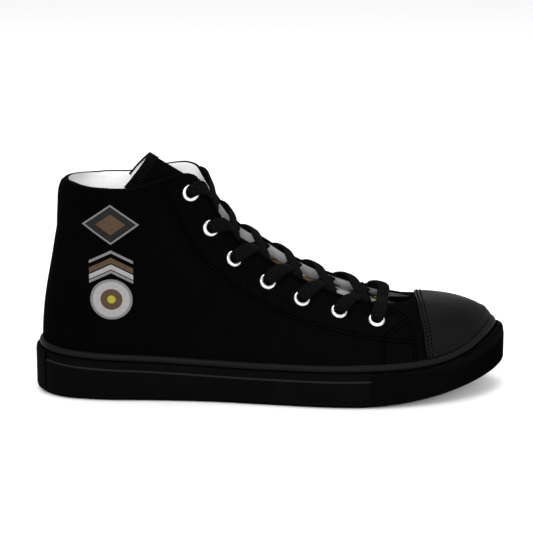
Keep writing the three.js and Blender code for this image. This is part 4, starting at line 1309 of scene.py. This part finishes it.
def grid_normals(grid):
    along = np.gradient(grid, axis=0)
    across = np.gradient(grid, axis=1)
    return unit(np.cross(along, across))


def tongue_sheets(rows, outward, inward):
    rows = rows[:, ::-1]
    normals = grid_normals(rows)
    return rows + normals * outward, rows - normals * inward


def make_tongue(canvas, lining):
    ribs = np.linspace(TONGUE_FIRST_RIB, TONGUE_LAST_RIB, 90)
    rows = tongue_row(ribs)
    lap = rows[0] + np.array([TONGUE_FRONT_LAP, 0, -TONGUE_FRONT_LAP / 3])
    front = lerp(lap[None], rows[0][None], np.linspace(0, 1, 6)[:-1, None, None])
    shares = np.linspace(0, 0.99, 34)
    rows = relaxed(np.concatenate([front, rows, tongue_free_rows(shares)[1:]]), 6)
    sunk = np.zeros(len(rows))
    taped = smooth(1 - binding_share(), 1 - 0.8 * binding_share(), shares)
    sunk[-len(shares):] = SUNK_UNDER_TAPE * taped
    outer, inner = tongue_sheets(rows, -sunk[:, None, None], TONGUE_THICK)
    points = sheet_grid(outer, inner)
    columns = outer.shape[1]
    piece = surface("tongue_panel", points, cloth_uv(points, wrap_columns=True), (canvas, lining),
                    lambda column: np.where(column < columns, 0, 1), wrap_columns=True, caps=True)
    return softened(piece, CLOTH_ROUND, 3)


def make_binding(tape):
    """Tape folded over the tongue's top edge: wide outside and narrow inside."""
    share = binding_share()
    back = TONGUE_THICK + GAP
    section = [(1 - share, -GAP), (1 - share, 0.8 * BINDING_PROUD)]
    section += [(lerp(1 - 0.94 * share, 1, k / 6), BINDING_PROUD) for k in range(7)]
    section += [(1 + 0.06 * share, 0.2 * BINDING_PROUD - 0.2 * back), (1 + 0.11 * share, -0.5 * back),
                (1 + 0.06 * share, -0.8 * back), (1, -back), (1 - 0.05 * share, -back),
                (1 - 0.05 * share, 0.4 * -back)]
    shares, offsets = np.array(section).T
    rows = tongue_free_rows(shares)[:, ::-1]
    plain = tongue_free_rows(np.linspace(1 - share, 1, 5))[:, ::-1]
    normals = grid_normals(plain)[2][None]
    points = rows + normals * offsets[:, None, None]
    points = points.transpose(1, 0, 2)[::-1]
    return surface("tongue_tape", points, cloth_uv(points, wrap_columns=True), (tape,),
                   wrap_columns=True, caps=True)


# Laces and eyelets

LACE_STEP = 0.0011
LACE_SIDES = 16
LACE_OVER_EDGE = 0.0021
LACE_OVER_FLAP = EYELET_SEAT + 2 * GAP + LACE_THICK / 2
LACE_OVER_THROAT = 0.0004
LACE_OFF_BORE = 0.0015
LACE_SAMPLES = 12000
FLAT_POWER, THICK_POWER = 0.75, 0.9

# How many ribs nearer the toe than its eyelets the bar leaves the flaps, outer and inner.
BAR_LEAN = (0.22, 0.4)

# Width and thickness of the lace at a stop, as shares of its own.
FLAT, TURNED, FULL, BENT, BUNCHED = (1.0, 0.95), (1.05, 1.15), (1.16, 1.75), (1.2, 1.9), (0.55, 1.2)


def toe_ward(side, rib):
    """Direction along the throat's edge towards the toe."""
    return unit(form(partner(rib + 0.1, side), 1.0) - form(partner(rib - 0.1, side), 1.0))


def stop(point, along, shape=FLAT):
    return {"point": point, "along": along, "shape": shape}


def stop_on_flap(side, rib, v, offset, shape=FLAT):
    return stop(skin(partner(rib, side), v, offset), toe_ward(side, rib), shape)


def into_eyelet(side, index, lean=0.0):
    """Stops of a lace that runs over a flap into an eyelet, and through it to the inside. It comes
    from lean ribs further to the toe, and passes the bore on the throat's side."""
    e = eyelet_at(side, index)
    r, v, edge = e["r"], e["v"], e["edge"]
    shift = unit(form(partner(edge, side), 1.0) - e["centre"]) * LACE_OFF_BORE
    along = toe_ward(side, edge)
    return [
        stop_on_flap(side, lerp(edge + lean, r, 0.3), lerp(1.0, v, 0.3), LACE_OVER_FLAP + 0.0004, FULL),
        stop_on_flap(side, lerp(edge + lean, r, 0.68), lerp(1.0, v, 0.68), LACE_OVER_FLAP + 0.0009, BENT),
        stop_on_flap(side, lerp(edge, r, 0.93), lerp(1.0, v, 0.93), EYELET_SEAT + 0.0019, BENT),
        stop(e["centre"] + shift + e["normal"] * 0.0002, along, BUNCHED),
        stop(e["centre"] + shift - e["normal"] * (UPPER_WALL + 0.0012), along, BUNCHED),
    ]


def out_from_under(side, index, start):
    """Stops of a lace from inside an eyelet to where it comes out from under the flap."""
    e = eyelet_at(side, index)
    under = UPPER_WALL + 2 * GAP + LACE_THICK / 2
    middle, v = lerp(e["r"], start, 0.5), lerp(e["v"], 1.0, 0.45)
    return [
        stop_on_flap(side, middle, v, -under - 0.0003),
        stop_on_flap(side, start, 0.955, -under),
    ]


def throat_stops(side, start, end, lift):
    """Stops over the throat, from under the flap on one side to over the flap on the other."""
    _, out = throat_centre(np.array(start))
    edge = form(partner(start, side), 1.0)
    middle, _ = throat_centre(np.array(start))
    centre, up = throat_centre(np.array((start + end) / 2))
    across = unit(form(partner(end, -side), 1.0) - edge)
    along = unit(np.cross(np.cross(across, toe_ward(side, start)), across))
    return [
        stop(lerp(edge, middle, 0.35) - out * GAP, toe_ward(side, start)),
        stop(centre + up * (LACE_OVER_THROAT + lift), along),
        stop_on_flap(-side, end, 1.0, LACE_OVER_EDGE, TURNED),
    ]


def lace_stops():
    """The whole lace: up one side from its end at the top to the bar, and up the other side."""
    last = len(EYELETS) - 1
    halves = []
    for first_side in (-1, 1):
        stops, side = [], first_side
        for index in range(last, 0, -1):
            low, high = eyelet_at(side, index)["edge"], eyelet_at(-side, index - 1)["edge"]
            start, end = lerp(low, high, 0.28), lerp(high, low, 0.3)
            lift = -0.55 * LACE_THICK * side
            stops += out_from_under(side, index, start)
            stops += throat_stops(side, start, end, lift)
            stops += into_eyelet(-side, index - 1, end - high)
            side = -side
        e = eyelet_at(side, 0)
        stops.append(stop_on_flap(side, e["edge"], 0.95, -UPPER_WALL - 2 * GAP - LACE_THICK / 2))
        halves.append(stops)
    bar_rib = eyelet_at(-1, last)["edge"]
    near_lean, far_lean = BAR_LEAN
    centre, up = throat_centre(np.array(bar_rib + (near_lean + far_lean) / 2))
    bar = into_eyelet(-1, last, near_lean)[::-1] + [
        stop_on_flap(-1, bar_rib + near_lean, 1.0, LACE_OVER_EDGE, TURNED),
        stop(centre + up * LACE_OVER_THROAT, toe_ward(-1, bar_rib)),
        stop_on_flap(1, bar_rib + far_lean, 1.0, LACE_OVER_EDGE, TURNED),
    ] + into_eyelet(1, last, far_lean)
    return halves[0][::-1] + bar + halves[1]


def squared(wave, power):
    """A sine or cosine drawn out towards a square."""
    return np.sign(wave) * np.abs(wave) ** power


def make_lace(cloth):
    stops = lace_stops()
    points = np.array([s["point"] for s in stops])
    path = Spline(points, False)
    shares = np.linspace(0, 1, LACE_SAMPLES)
    length = arc_lengths(path.at(shares))
    places = np.interp(np.arange(0, length[-1], LACE_STEP), length, shares)
    centre = path.at(places)
    knots = np.linspace(0, 1, len(stops))
    along = np.stack([np.interp(places, knots, [s["along"][k] for s in stops]) for k in range(3)], -1)
    shape = np.stack([np.interp(places, knots, [s["shape"][k] for s in stops]) for k in range(2)], -1)
    for _ in range(3):
        shape[1:-1] = (shape[:-2] + shape[1:-1] + shape[2:]) / 3
    tangent = unit(np.gradient(centre, axis=0))
    along = unit(along - tangent * (along * tangent).sum(-1, keepdims=True))
    for _ in range(4):
        along[1:-1] = unit(along[:-2] + along[1:-1] + along[2:])
    face = np.cross(along, tangent)
    angles = np.arange(LACE_SIDES) * 2 * np.pi / LACE_SIDES
    flat = squared(np.cos(angles), FLAT_POWER) * LACE_WIDTH / 2
    thick = squared(np.sin(angles), THICK_POWER) * LACE_THICK / 2
    points = (centre[:, None] + along[:, None] * (flat[None] * shape[:, :1])[..., None]
              + face[:, None] * (thick[None] * shape[:, 1:])[..., None])
    across = arc_lengths(np.stack([flat, thick], -1), True)
    uv = np.stack(np.broadcast_arrays(np.arange(len(points))[:, None] * LACE_STEP, across[None]), -1)
    return surface("shoe_lace", points, uv, (cloth,), wrap_columns=True, caps=True)


def make_eyelet(eyelet, metal):
    """Rolled eyelet: a rounded flange outside, a barrel, and its turned end inside."""
    depth = EYELET_SEAT + UPPER_WALL
    turned = 0.0046
    angles = np.linspace(np.pi, 0, 9)
    crown_middle, crown_half = (EYELET_FLANGE + EYELET_BORE) / 2, (EYELET_FLANGE - EYELET_BORE) / 2
    profile = [(crown_middle + crown_half * math.cos(a), 0.00015 + EYELET_PROUD * math.sin(a) ** 0.8)
               for a in angles]
    profile += [(EYELET_BARREL, 0.00012), (EYELET_BARREL, -depth + 0.0001), (turned, -depth),
                (turned, -depth - 0.0005), (EYELET_BARREL, -depth - 0.0008), (EYELET_BORE, -depth - 0.0003)]
    profile = np.array(profile)
    normal = eyelet["normal"]
    first = unit(np.cross(normal, np.array([0, 0, 1.0])))
    second = np.cross(normal, first)
    turn = np.arange(40) * 2 * np.pi / 40
    spokes = np.cos(turn)[:, None] * first + np.sin(turn)[:, None] * second
    seat = eyelet["centre"] + normal * EYELET_SEAT
    points = seat + spokes[:, None] * profile[None, :, :1] + normal * profile[None, :, 1:]
    points = points[::-1]
    side = "outer" if eyelet["side"] < 0 else "inner"
    name = f"ring_{side}_{eyelet['index'] + 1}"
    return surface(name, points, cloth_uv(points, True, True), (metal,), wrap_rows=True, wrap_columns=True)


# Finishes

ZIGZAG_PITCH = 0.012
# How much paler the step's ledge is than the rest of the side: a painted highlight.
LEDGE_HIGHLIGHT = 8

# Bands of the tongue's print: where each starts as a share of its length, and its ink.
PRINT_BANDS = (
    (0.0, "shade"), (0.05, "yellow"), (0.11, "shade"), (0.14, "white"), (0.25, "shade"),
    (0.28, "white"), (0.4, "shade"), (0.43, "tan"), (0.52, "shade"), (0.55, "tan"),
    (0.63, "white"), (0.67, "shade"), (0.7, "tan"), (0.82, "shade"), (0.85, "tan"),
)


def shaded(colour, factor, lift=0.0):
    """The colour made darker or paler."""
    return [c * factor + lift for c in colour]


def banded_print(finish, cloth, inks):
    """Zigzag bands of ink over the part of the tongue that shows between the laces."""
    zigzag = ((finish.v * (1 / ZIGZAG_PITCH)).math("FRACT") - 0.5).size() * ZIGZAG_PITCH
    share = (finish.u + zigzag - PRINT_FROM) * (1 / (PRINT_TO - PRINT_FROM))
    stops = [(start, inks[name]) for start, name in PRINT_BANDS]
    bands = finish.node("ShaderNodeValToRGB", {"stops": stops}, {"Fac": share})
    inside = share.step(0, 0.01) * (1 - share.step(0.99, 1))
    return finish.mix(inside * 0.95, cloth, bands)


def canvas_finish(name, colour, pitch, inks=None):
    """Black twill: upright ribs of uneven strength, each cut by the turns of its yarn."""
    finish = Finish(name, roughness=0.92, specular_ior_level=0.006)
    wander = finish.noise(40, 2, 0.5) * 0.0006
    ribs = (finish.u + finish.v * 0.04 + wander).wave(pitch)
    turns = (finish.v - finish.u * 0.6).wave(pitch * 0.8)
    drawn = finish.node("ShaderNodeCombineXYZ", {}, {0: finish.u * 700, 1: finish.v * 45, 2: 0.0})
    streaks = finish.noise(1.0, 3, 0.6, drawn).step(0.35, 0.75)
    weave = ribs * 0.55 + turns * ribs * 0.25 + streaks * 0.25
    # Painted shade: the canvas and its weave grow darker towards the heel, as less light falls there.
    heel_shade_ramp = finish.node("ShaderNodeSeparateXYZ", {}, {0: finish.place}).step(-0.15, 0.06)
    cloudy = finish.noise(45, 4, 0.6).step(0.3, 0.75)
    lint = finish.noise(900, 2, 0.6).step(0.66, 0.76)
    share = weave * (heel_shade_ramp * 0.72 + 0.22) + cloudy * 0.1
    base = finish.mix(share, shaded(colour, 0.4), shaded(colour, 2.4))
    base = finish.mix(lint * 0.05, base, [0.02, 0.02, 0.02])
    if inks is not None:
        base = banded_print(finish, base, inks)
    finish.bumps((cloudy, 0.0004), (weave, 0.00022))
    return finish.done(base, 0.88 + ribs * 0.1)


def ink_finish(name, colour, pitch):
    """Thin ink over twill, worn where it cracked."""
    finish = Finish(name, roughness=0.8, specular_ior_level=0.05)
    ribs = finish.u.wave(pitch)
    worn = finish.noise(600, 3, 0.6).step(0.45, 0.75)
    base = finish.mix(ribs * 0.15 + worn * 0.3, colour, shaded(colour, 0.5))
    finish.bumps((ribs, 0.0001), (worn, 0.00005))
    return finish.done(base, 0.75 + worn * 0.15)


def lining_finish(name, colour):
    finish = Finish(name, roughness=0.9, specular_ior_level=0.25, sheen_weight=0.2, sheen_roughness=0.5)
    weave = finish.u.wave(0.0009) * finish.v.wave(0.0009)
    cloudy = finish.noise(30, 3, 0.55)
    base = finish.mix(weave * 0.4 + cloudy * 0.3, shaded(colour, 0.82), colour)
    finish.bumps((cloudy, 0.0005), (weave, 0.00015))
    return finish.done(base, 0.88 + weave * 0.08)


def leather_finish(name, colour):
    finish = Finish(name, roughness=0.55, specular_ior_level=0.02)
    grain = finish.node("ShaderNodeTexVoronoi", {"feature": "SMOOTH_F1"},
                        {"Vector": finish.place, "Scale": 900.0, "Smoothness": 0.6})
    pores = finish.noise(1500, 2, 0.5)
    worn = finish.noise(25, 4, 0.6).step(0.4, 0.8)
    base = finish.mix(worn * 0.6, colour, shaded(colour, 1.45))
    finish.bumps((worn, 0.0003), (grain * 0.6 + pores * 0.4, 0.00007))
    return finish.done(base, 0.42 + worn * 0.12)


def thread_finish(name, colour):
    finish = Finish(name, roughness=0.9, specular_ior_level=0.0)
    twist = (finish.u + finish.v).wave(0.0005)
    finish.bumps((twist, 0.00006))
    return finish.done(finish.mix(twist, shaded(colour, 0.5), colour), 0.85 + twist * 0.1)


def rubber_finish(name, colour, rough, shine=0.009):
    finish = Finish(name, roughness=rough, specular_ior_level=shine)
    grain = finish.noise(1800, 2, 0.6)
    dust = finish.noise(60, 5, 0.65).step(0.5, 0.8)
    streaks = finish.noise(220, 3, 0.6).step(0.58, 0.75)
    base = finish.mix(dust * 0.5 + streaks * 0.25, colour, shaded(colour, 1.7, 0.001))
    finish.bumps((grain, 0.00005), (streaks, 0.00003))
    return finish.done(base, rough + dust * 0.12)


def knurled_finish(name, colour, pitch):
    """Rubber with small moulded diamonds, painted pale on their tops as a highlight and near black between
    them as shade.
    """
    finish = Finish(name, roughness=0.75, specular_ior_level=0.006)
    first, second = (finish.u + finish.v).wave(pitch), (finish.u - finish.v).wave(pitch)
    highlit_tops = (first * second).step(0.35, 0.85)
    dust = finish.noise(60, 5, 0.65).step(0.5, 0.8)
    # Painted highlight on the diamonds' tops and painted shade between them, with some grey dust.
    base = finish.mix(highlit_tops * 0.9 + dust * 0.1, shaded(colour, 0.1), shaded(colour, 8))
    finish.bumps((finish.noise(1800, 2, 0.6), 0.00004))
    return finish.done(base, 0.8 - highlit_tops * 0.15)


def lace_finish(name, colour):
    finish = Finish(name, roughness=0.85, specular_ior_level=0.012)
    herring = (finish.u + (finish.v.wave(0.0056) - 0.5) * 0.0045).wave(0.0017)
    strands = finish.v.wave(0.0014)
    braid_and_painted_light = (herring * 0.75 + strands * 0.25).step(0.2, 0.8)
    # Painted highlights on the braid's strands and painted shade between them; the same pattern also drives
    # the bumps.
    base = finish.mix(braid_and_painted_light, shaded(colour, 0.12), shaded(colour, 2.0))
    finish.bumps((braid_and_painted_light, 0.0006), (finish.noise(1500), 0.00008))
    return finish.done(base, 0.8 + braid_and_painted_light * 0.12)


def tape_finish(name, colour):
    finish = Finish(name, roughness=0.85, specular_ior_level=0.008)
    ribs = finish.u.wave(0.0019)
    base = finish.mix(ribs, shaded(colour, 0.2), shaded(colour, 1.8))
    finish.bumps((ribs, 0.0004), (finish.noise(1600), 0.00006))
    return finish.done(base, 0.82 + ribs * 0.1)


def metal_finish(name, colour):
    finish = Finish(name, metallic=1.0, roughness=0.25)
    rubbed = finish.noise(350, 4, 0.6)
    base = finish.mix(rubbed, shaded(colour, 0.78), colour)
    finish.bumps((rubbed, 0.00003))
    return finish.done(base, 0.2 + rubbed * 0.2)


def floor_finish(name, colour):
    finish = Finish(name, roughness=0.6, specular_ior_level=0.2)
    mottle = finish.noise(3, 3, 0.5)
    return finish.done(finish.mix(mottle, shaded(colour, 0.97), colour), 0.6 + mottle * 0.1)


# Settings, one operator for each piece or group of like pieces, and the panel

def colour_property(label, description, default):
    return bpy.props.FloatVectorProperty(
        name=label, description=description, subtype="COLOR", size=3, min=0, max=1, default=default)


def size_property(label, description, default):
    return bpy.props.FloatProperty(
        name=label, description=description, default=default, min=0, max=0.02, precision=4,
        subtype="DISTANCE", unit="LENGTH")


class SneakerSizes(bpy.types.PropertyGroup):
    twill_pitch: size_property("Twill pitch", "Distance between two ribs of the canvas", 0.0011)
    knurl_pitch: size_property("Knurl pitch", "Distance between two diamonds of the toe bumper", 0.0021)
    knurl_depth: size_property("Knurl depth", "Height of the diamonds of the toe bumper", 0.00035)
    stitch_length: size_property("Stitch length", "Length of one stitch", 0.0018)
    stitch_pitch: size_property("Stitch pitch", "Distance from one stitch to the next", 0.0025)
    thread_radius: size_property("Thread radius", "Half the thickness of the thread", 0.0004)
    dot_pitch: size_property("Dot pitch", "Distance between two dots of the heel patch", 0.0022)


class SneakerColours(bpy.types.PropertyGroup):
    canvas: colour_property("Canvas", "Twill of the upper and the tongue", (0.0009, 0.0009, 0.00093))
    lining: colour_property("Lining", "Pale cloth inside the collar and the flaps", (0.93, 0.93, 0.94))
    leather: colour_property("Toe cap", "Smooth skin of the toe cap", (0.0034, 0.0034, 0.0035))
    rubber: colour_property("Rubber", "Side of the sole and its tread", (0.0011, 0.0011, 0.00114))
    bead: colour_property("Bead", "Piping on top of the sole's side", (0.0034, 0.0034, 0.0035))
    lace: colour_property("Lace", "Flat woven lace", (0.0026, 0.0026, 0.0027))
    thread: colour_property("Thread", "Black sewing thread", (0.0001, 0.0001, 0.0001))
    tape: colour_property(
        "Tape", "Ribbed binding of the tongue and the collar's edge", (0.0014, 0.0014, 0.00146))
    ink_outline: colour_property("Outline ink", "Pale grey ink of the print's outlines", (0.11, 0.11, 0.115))
    ink_shade: colour_property("Shade ink", "Dark grey ink of the print", (0.010, 0.0095, 0.009))
    ink_tan: colour_property("Tan ink", "Tan ink of the print", (0.050, 0.032, 0.019))
    ink_white: colour_property("White ink", "White ink of the print", (0.20, 0.195, 0.195))
    ink_yellow: colour_property("Yellow ink", "Yellow ink of the print", (0.21, 0.20, 0.02))
    metal: colour_property("Metal", "Plated eyelets", (0.60, 0.59, 0.58))
    insole: colour_property("Insole", "Cloth over the foot bed", (0.6, 0.59, 0.57))
    floor: colour_property("Floor", "Plain studio floor", (0.86, 0.86, 0.86))


class PieceOperator(bpy.types.Operator):
    bl_options = {"REGISTER", "UNDO"}

    @property
    def sizes(self):
        return bpy.context.scene.sneaker_sizes

    @property
    def colours(self):
        return bpy.context.scene.sneaker_colours

    def ink(self, name):
        return getattr(self.colours, f"ink_{name}")


class SNEAKER_OT_upper(PieceOperator):
    """Canvas upper with its pale lining"""
    bl_idname = "sneaker.upper"
    bl_label = "Upper"

    def execute(self, context):
        canvas = canvas_finish("canvas_twill", self.colours.canvas, self.sizes.twill_pitch)
        tape = tape_finish("collar_tape", self.colours.tape)
        lining = lining_finish("pale_lining", self.colours.lining)
        dress(make_upper(canvas, tape, lining), "upper_canvas", "upper")
        return {"FINISHED"}


class SNEAKER_OT_stitches(PieceOperator):
    """Rows of stitches on the upper and on the toe cap"""
    bl_idname = "sneaker.stitches"
    bl_label = "Stitches"

    def execute(self, context):
        sizes = self.sizes
        thread = thread_finish("black_thread", self.colours.thread)
        stitch = (sizes.stitch_length, sizes.stitch_pitch, sizes.thread_radius)
        dress(make_stitches(thread, *stitch), "upper_canvas")
        dress(make_toe_stitches(thread, *stitch), "toe_cap_leather")
        return {"FINISHED"}


class SNEAKER_OT_print(PieceOperator):
    """Small geometric print on the outer quarter"""
    bl_idname = "sneaker.print"
    bl_label = "Print"

    def execute(self, context):
        inks = [ink_finish(f"{name}_ink", self.ink(name), self.sizes.twill_pitch) for name in INKS]
        for piece in make_print(inks):
            dress(piece, "upper_canvas")
        return {"FINISHED"}


class SNEAKER_OT_eyestays(PieceOperator):
    """Canvas eyestays along both sides of the throat"""
    bl_idname = "sneaker.eyestays"
    bl_label = "Eyestays"

    def execute(self, context):
        canvas = canvas_finish("eyestay_twill", self.colours.canvas, self.sizes.twill_pitch)
        for side, node in ((-1, "eyestay_lateral"), (1, "eyestay_medial")):
            dress(make_eyestay(side, canvas), "upper_canvas", node)
        return {"FINISHED"}


class SNEAKER_OT_toe_cap(PieceOperator):
    """Smooth toe cap"""
    bl_idname = "sneaker.toe_cap"
    bl_label = "Toe Cap"

    def execute(self, context):
        dress(make_toe_cap(leather_finish("toe_skin", self.colours.leather)), "toe_cap_leather", "toe_cap")
        return {"FINISHED"}


class SNEAKER_OT_bead(PieceOperator):
    """Piping on top of the sole's side"""
    bl_idname = "sneaker.bead"
    bl_label = "Bead"

    def execute(self, context):
        rubber = rubber_finish("bead_rubber", self.colours.bead, 0.5, 0.04)
        dress(make_bead(rubber), "bead_rubber", "welt_bead")
        return {"FINISHED"}


class SNEAKER_OT_sole(PieceOperator):
    """Side of the sole with its step, toe bumper, heel patch and tread"""
    bl_idname = "sneaker.sole"
    bl_label = "Sole"

    def execute(self, context):
        sizes = self.sizes
        rubber = rubber_finish("side_rubber", self.colours.rubber, 0.6)
        # Paler rubber on the ledge: a painted highlight along the step.
        worn = rubber_finish("worn_ledge", shaded(self.colours.rubber, LEDGE_HIGHLIGHT), 0.5)
        dress(make_midsole(rubber, worn), "sole_rubber", "midsole")
        dress(make_outsole(rubber_finish("tread_rubber", self.colours.rubber, 0.7)), "sole_rubber", "outsole")
        toe = wrap_range(BUMPER_START * LENGTH - GAP / 3, None)
        moulded = knurled_finish("knurled_rubber", self.colours.rubber, sizes.knurl_pitch)
        dress(make_wrap("toe_wrap", toe, moulded, 56, knurl(sizes.knurl_pitch, sizes.knurl_depth)),
              "sole_rubber", "toe_bumper")
        heel = wrap_range(None, HEEL_PATCH_END * LENGTH + GAP / 3)
        moulded = knurled_finish("dotted_rubber", self.colours.rubber, sizes.dot_pitch)
        dress(make_wrap("heel_wrap", heel, moulded, 40, knurl(sizes.dot_pitch, sizes.knurl_depth)),
              "sole_rubber", "heel_patch")
        return {"FINISHED"}


class SNEAKER_OT_insole(PieceOperator):
    """Foot bed inside the shoe"""
    bl_idname = "sneaker.insole"
    bl_label = "Insole"

    def execute(self, context):
        dress(make_insole(lining_finish("insole_cloth", self.colours.insole)), "insole_cloth", "insole")
        return {"FINISHED"}


class SNEAKER_OT_tongue(PieceOperator):
    """Tongue and the tape that binds its top"""
    bl_idname = "sneaker.tongue"
    bl_label = "Tongue"

    def execute(self, context):
        inks = {name: self.ink(name) for name in INKS}
        canvas = canvas_finish("tongue_twill", self.colours.canvas, self.sizes.twill_pitch, inks)
        lining = lining_finish("tongue_lining", self.colours.lining)
        dress(make_tongue(canvas, lining), "tongue_canvas", "tongue")
        dress(make_binding(tape_finish("tongue_tape", self.colours.tape)), "binding_tape", "tongue_binding")
        return {"FINISHED"}


class SNEAKER_OT_lace(PieceOperator):
    """One lace through all fourteen eyelets"""
    bl_idname = "sneaker.lace"
    bl_label = "Lace"

    def execute(self, context):
        crossings = [f"lace_crossing_{i + 1}" for i in range(len(EYELETS) - 1)]
        dress(make_lace(lace_finish("woven_lace", self.colours.lace)), "lace_cloth", "lace_bar", *crossings)
        return {"FINISHED"}


class SNEAKER_OT_eyelets(PieceOperator):
    """Fourteen rolled metal eyelets"""
    bl_idname = "sneaker.eyelets"
    bl_label = "Eyelets"

    def execute(self, context):
        metal = metal_finish("plated_metal", self.colours.metal)
        for eyelet in eyelets:
            side = "lateral" if eyelet["side"] < 0 else "medial"
            dress(make_eyelet(eyelet, metal), "eyelet_metal", f"eyelet_{side}_{eyelet['index'] + 1}")
        return {"FINISHED"}


# Stage

CAMERA_TARGET = (-0.0025, CENTRE_Y, 0.077)
CAMERA_DISTANCE = 1.236
CAMERA_ELEVATION = 14.0
CAMERA_LENS = 133.2
CAMERA_SENSOR = 36
FLOOR_HALF = 6.0
FLOOR_DROP = 0.0002

# Area lights: name, place, height of the point they face, size, power.
LIGHTS = (
    ("key", (-0.5, -1.1, 1.3), 0.06, (1.0, 0.8), 14),
    ("fill", (1.2, -0.9, 0.7), 0.06, (0.9, 0.7), 6),
    ("top", (0.1, 0.4, 1.6), 0.05, (1.2, 0.9), 11),
    ("front", (0.03, -1.7, 0.54), 0.09, (0.9, 0.4), 14),
)


def area_light(name, place, faced_height, size, power):
    light = bpy.data.lights.new(name, "AREA")
    light.shape = "RECTANGLE"
    light.size, light.size_y = size
    light.energy = power
    holder = bpy.data.objects.new(name, light)
    holder.location = place
    holder.rotation_euler = (Vector((0, 0, faced_height)) - Vector(place)).to_track_quat("-Z", "Y").to_euler()
    bpy.context.scene.collection.objects.link(holder)


class SNEAKER_OT_stage(PieceOperator):
    """Plain pale floor, soft lights and the camera"""
    bl_idname = "sneaker.stage"
    bl_label = "Stage"

    def execute(self, context):
        scene = bpy.context.scene
        half = FLOOR_HALF
        corners = [(-half, -half, 0), (half, -half, 0), (half, half, 0), (-half, half, 0)]
        mesh = bpy.data.meshes.new("studio_floor")
        mesh.from_pydata(corners, [], [(0, 1, 2, 3)])
        mesh.uv_layers.new(name="UVMap")
        mesh.materials.append(floor_finish("studio_paper", self.colours.floor))
        floor = bpy.data.objects.new("studio_floor", mesh)
        floor.location.z = -FLOOR_DROP
        scene.collection.objects.link(floor)
        world = bpy.data.worlds.new("studio_air")
        world.use_nodes = True
        background = world.node_tree.nodes["Background"]
        background.inputs["Color"].default_value = (1, 1, 1, 1)
        background.inputs["Strength"].default_value = 1.0
        scene.world = world
        for light in LIGHTS:
            area_light(*light)
        camera = bpy.data.cameras.new("camera")
        camera.lens = CAMERA_LENS
        camera.sensor_width = CAMERA_SENSOR
        camera.clip_start = 0.05
        holder = bpy.data.objects.new("camera", camera)
        elevation = math.radians(CAMERA_ELEVATION)
        back = Vector((0, -math.cos(elevation), math.sin(elevation)))
        holder.location = Vector(CAMERA_TARGET) + back * CAMERA_DISTANCE
        holder.rotation_euler = (-back).to_track_quat("-Z", "Y").to_euler()
        scene.collection.objects.link(holder)
        scene.camera = holder
        scene.view_settings.view_transform = "Standard"
        return {"FINISHED"}


PIECES = (
    SNEAKER_OT_upper, SNEAKER_OT_stitches, SNEAKER_OT_print, SNEAKER_OT_eyestays,
    SNEAKER_OT_toe_cap, SNEAKER_OT_bead, SNEAKER_OT_sole, SNEAKER_OT_insole,
    SNEAKER_OT_tongue, SNEAKER_OT_lace, SNEAKER_OT_eyelets, SNEAKER_OT_stage,
)


class SNEAKER_PT_panel(bpy.types.Panel):
    """Lists the settings and the pieces"""
    bl_idname = "SNEAKER_PT_panel"
    bl_label = "High Top Sneaker"
    bl_space_type = "VIEW_3D"
    bl_region_type = "UI"
    bl_category = "Sneaker"

    def draw(self, context):
        for group in (context.scene.sneaker_sizes, context.scene.sneaker_colours):
            column = self.layout.column()
            for name in group.bl_rna.properties.keys():
                if name not in {"rna_type", "name"}:
                    column.prop(group, name)
        for piece in PIECES:
            self.layout.operator(piece.bl_idname)


CLASSES = (SneakerSizes, SneakerColours, *PIECES, SNEAKER_PT_panel)


def register():
    for item in CLASSES:
        bpy.utils.register_class(item)
    bpy.types.Scene.sneaker_sizes = bpy.props.PointerProperty(type=SneakerSizes)
    bpy.types.Scene.sneaker_colours = bpy.props.PointerProperty(type=SneakerColours)


def unregister():
    del bpy.types.Scene.sneaker_colours
    del bpy.types.Scene.sneaker_sizes
    for item in reversed(CLASSES):
        bpy.utils.unregister_class(item)


def main():
    register()
    for piece in PIECES:
        family, name = piece.bl_idname.split(".")
        getattr(getattr(bpy.ops, family), name)()


if __name__ == "__main__":
    main()
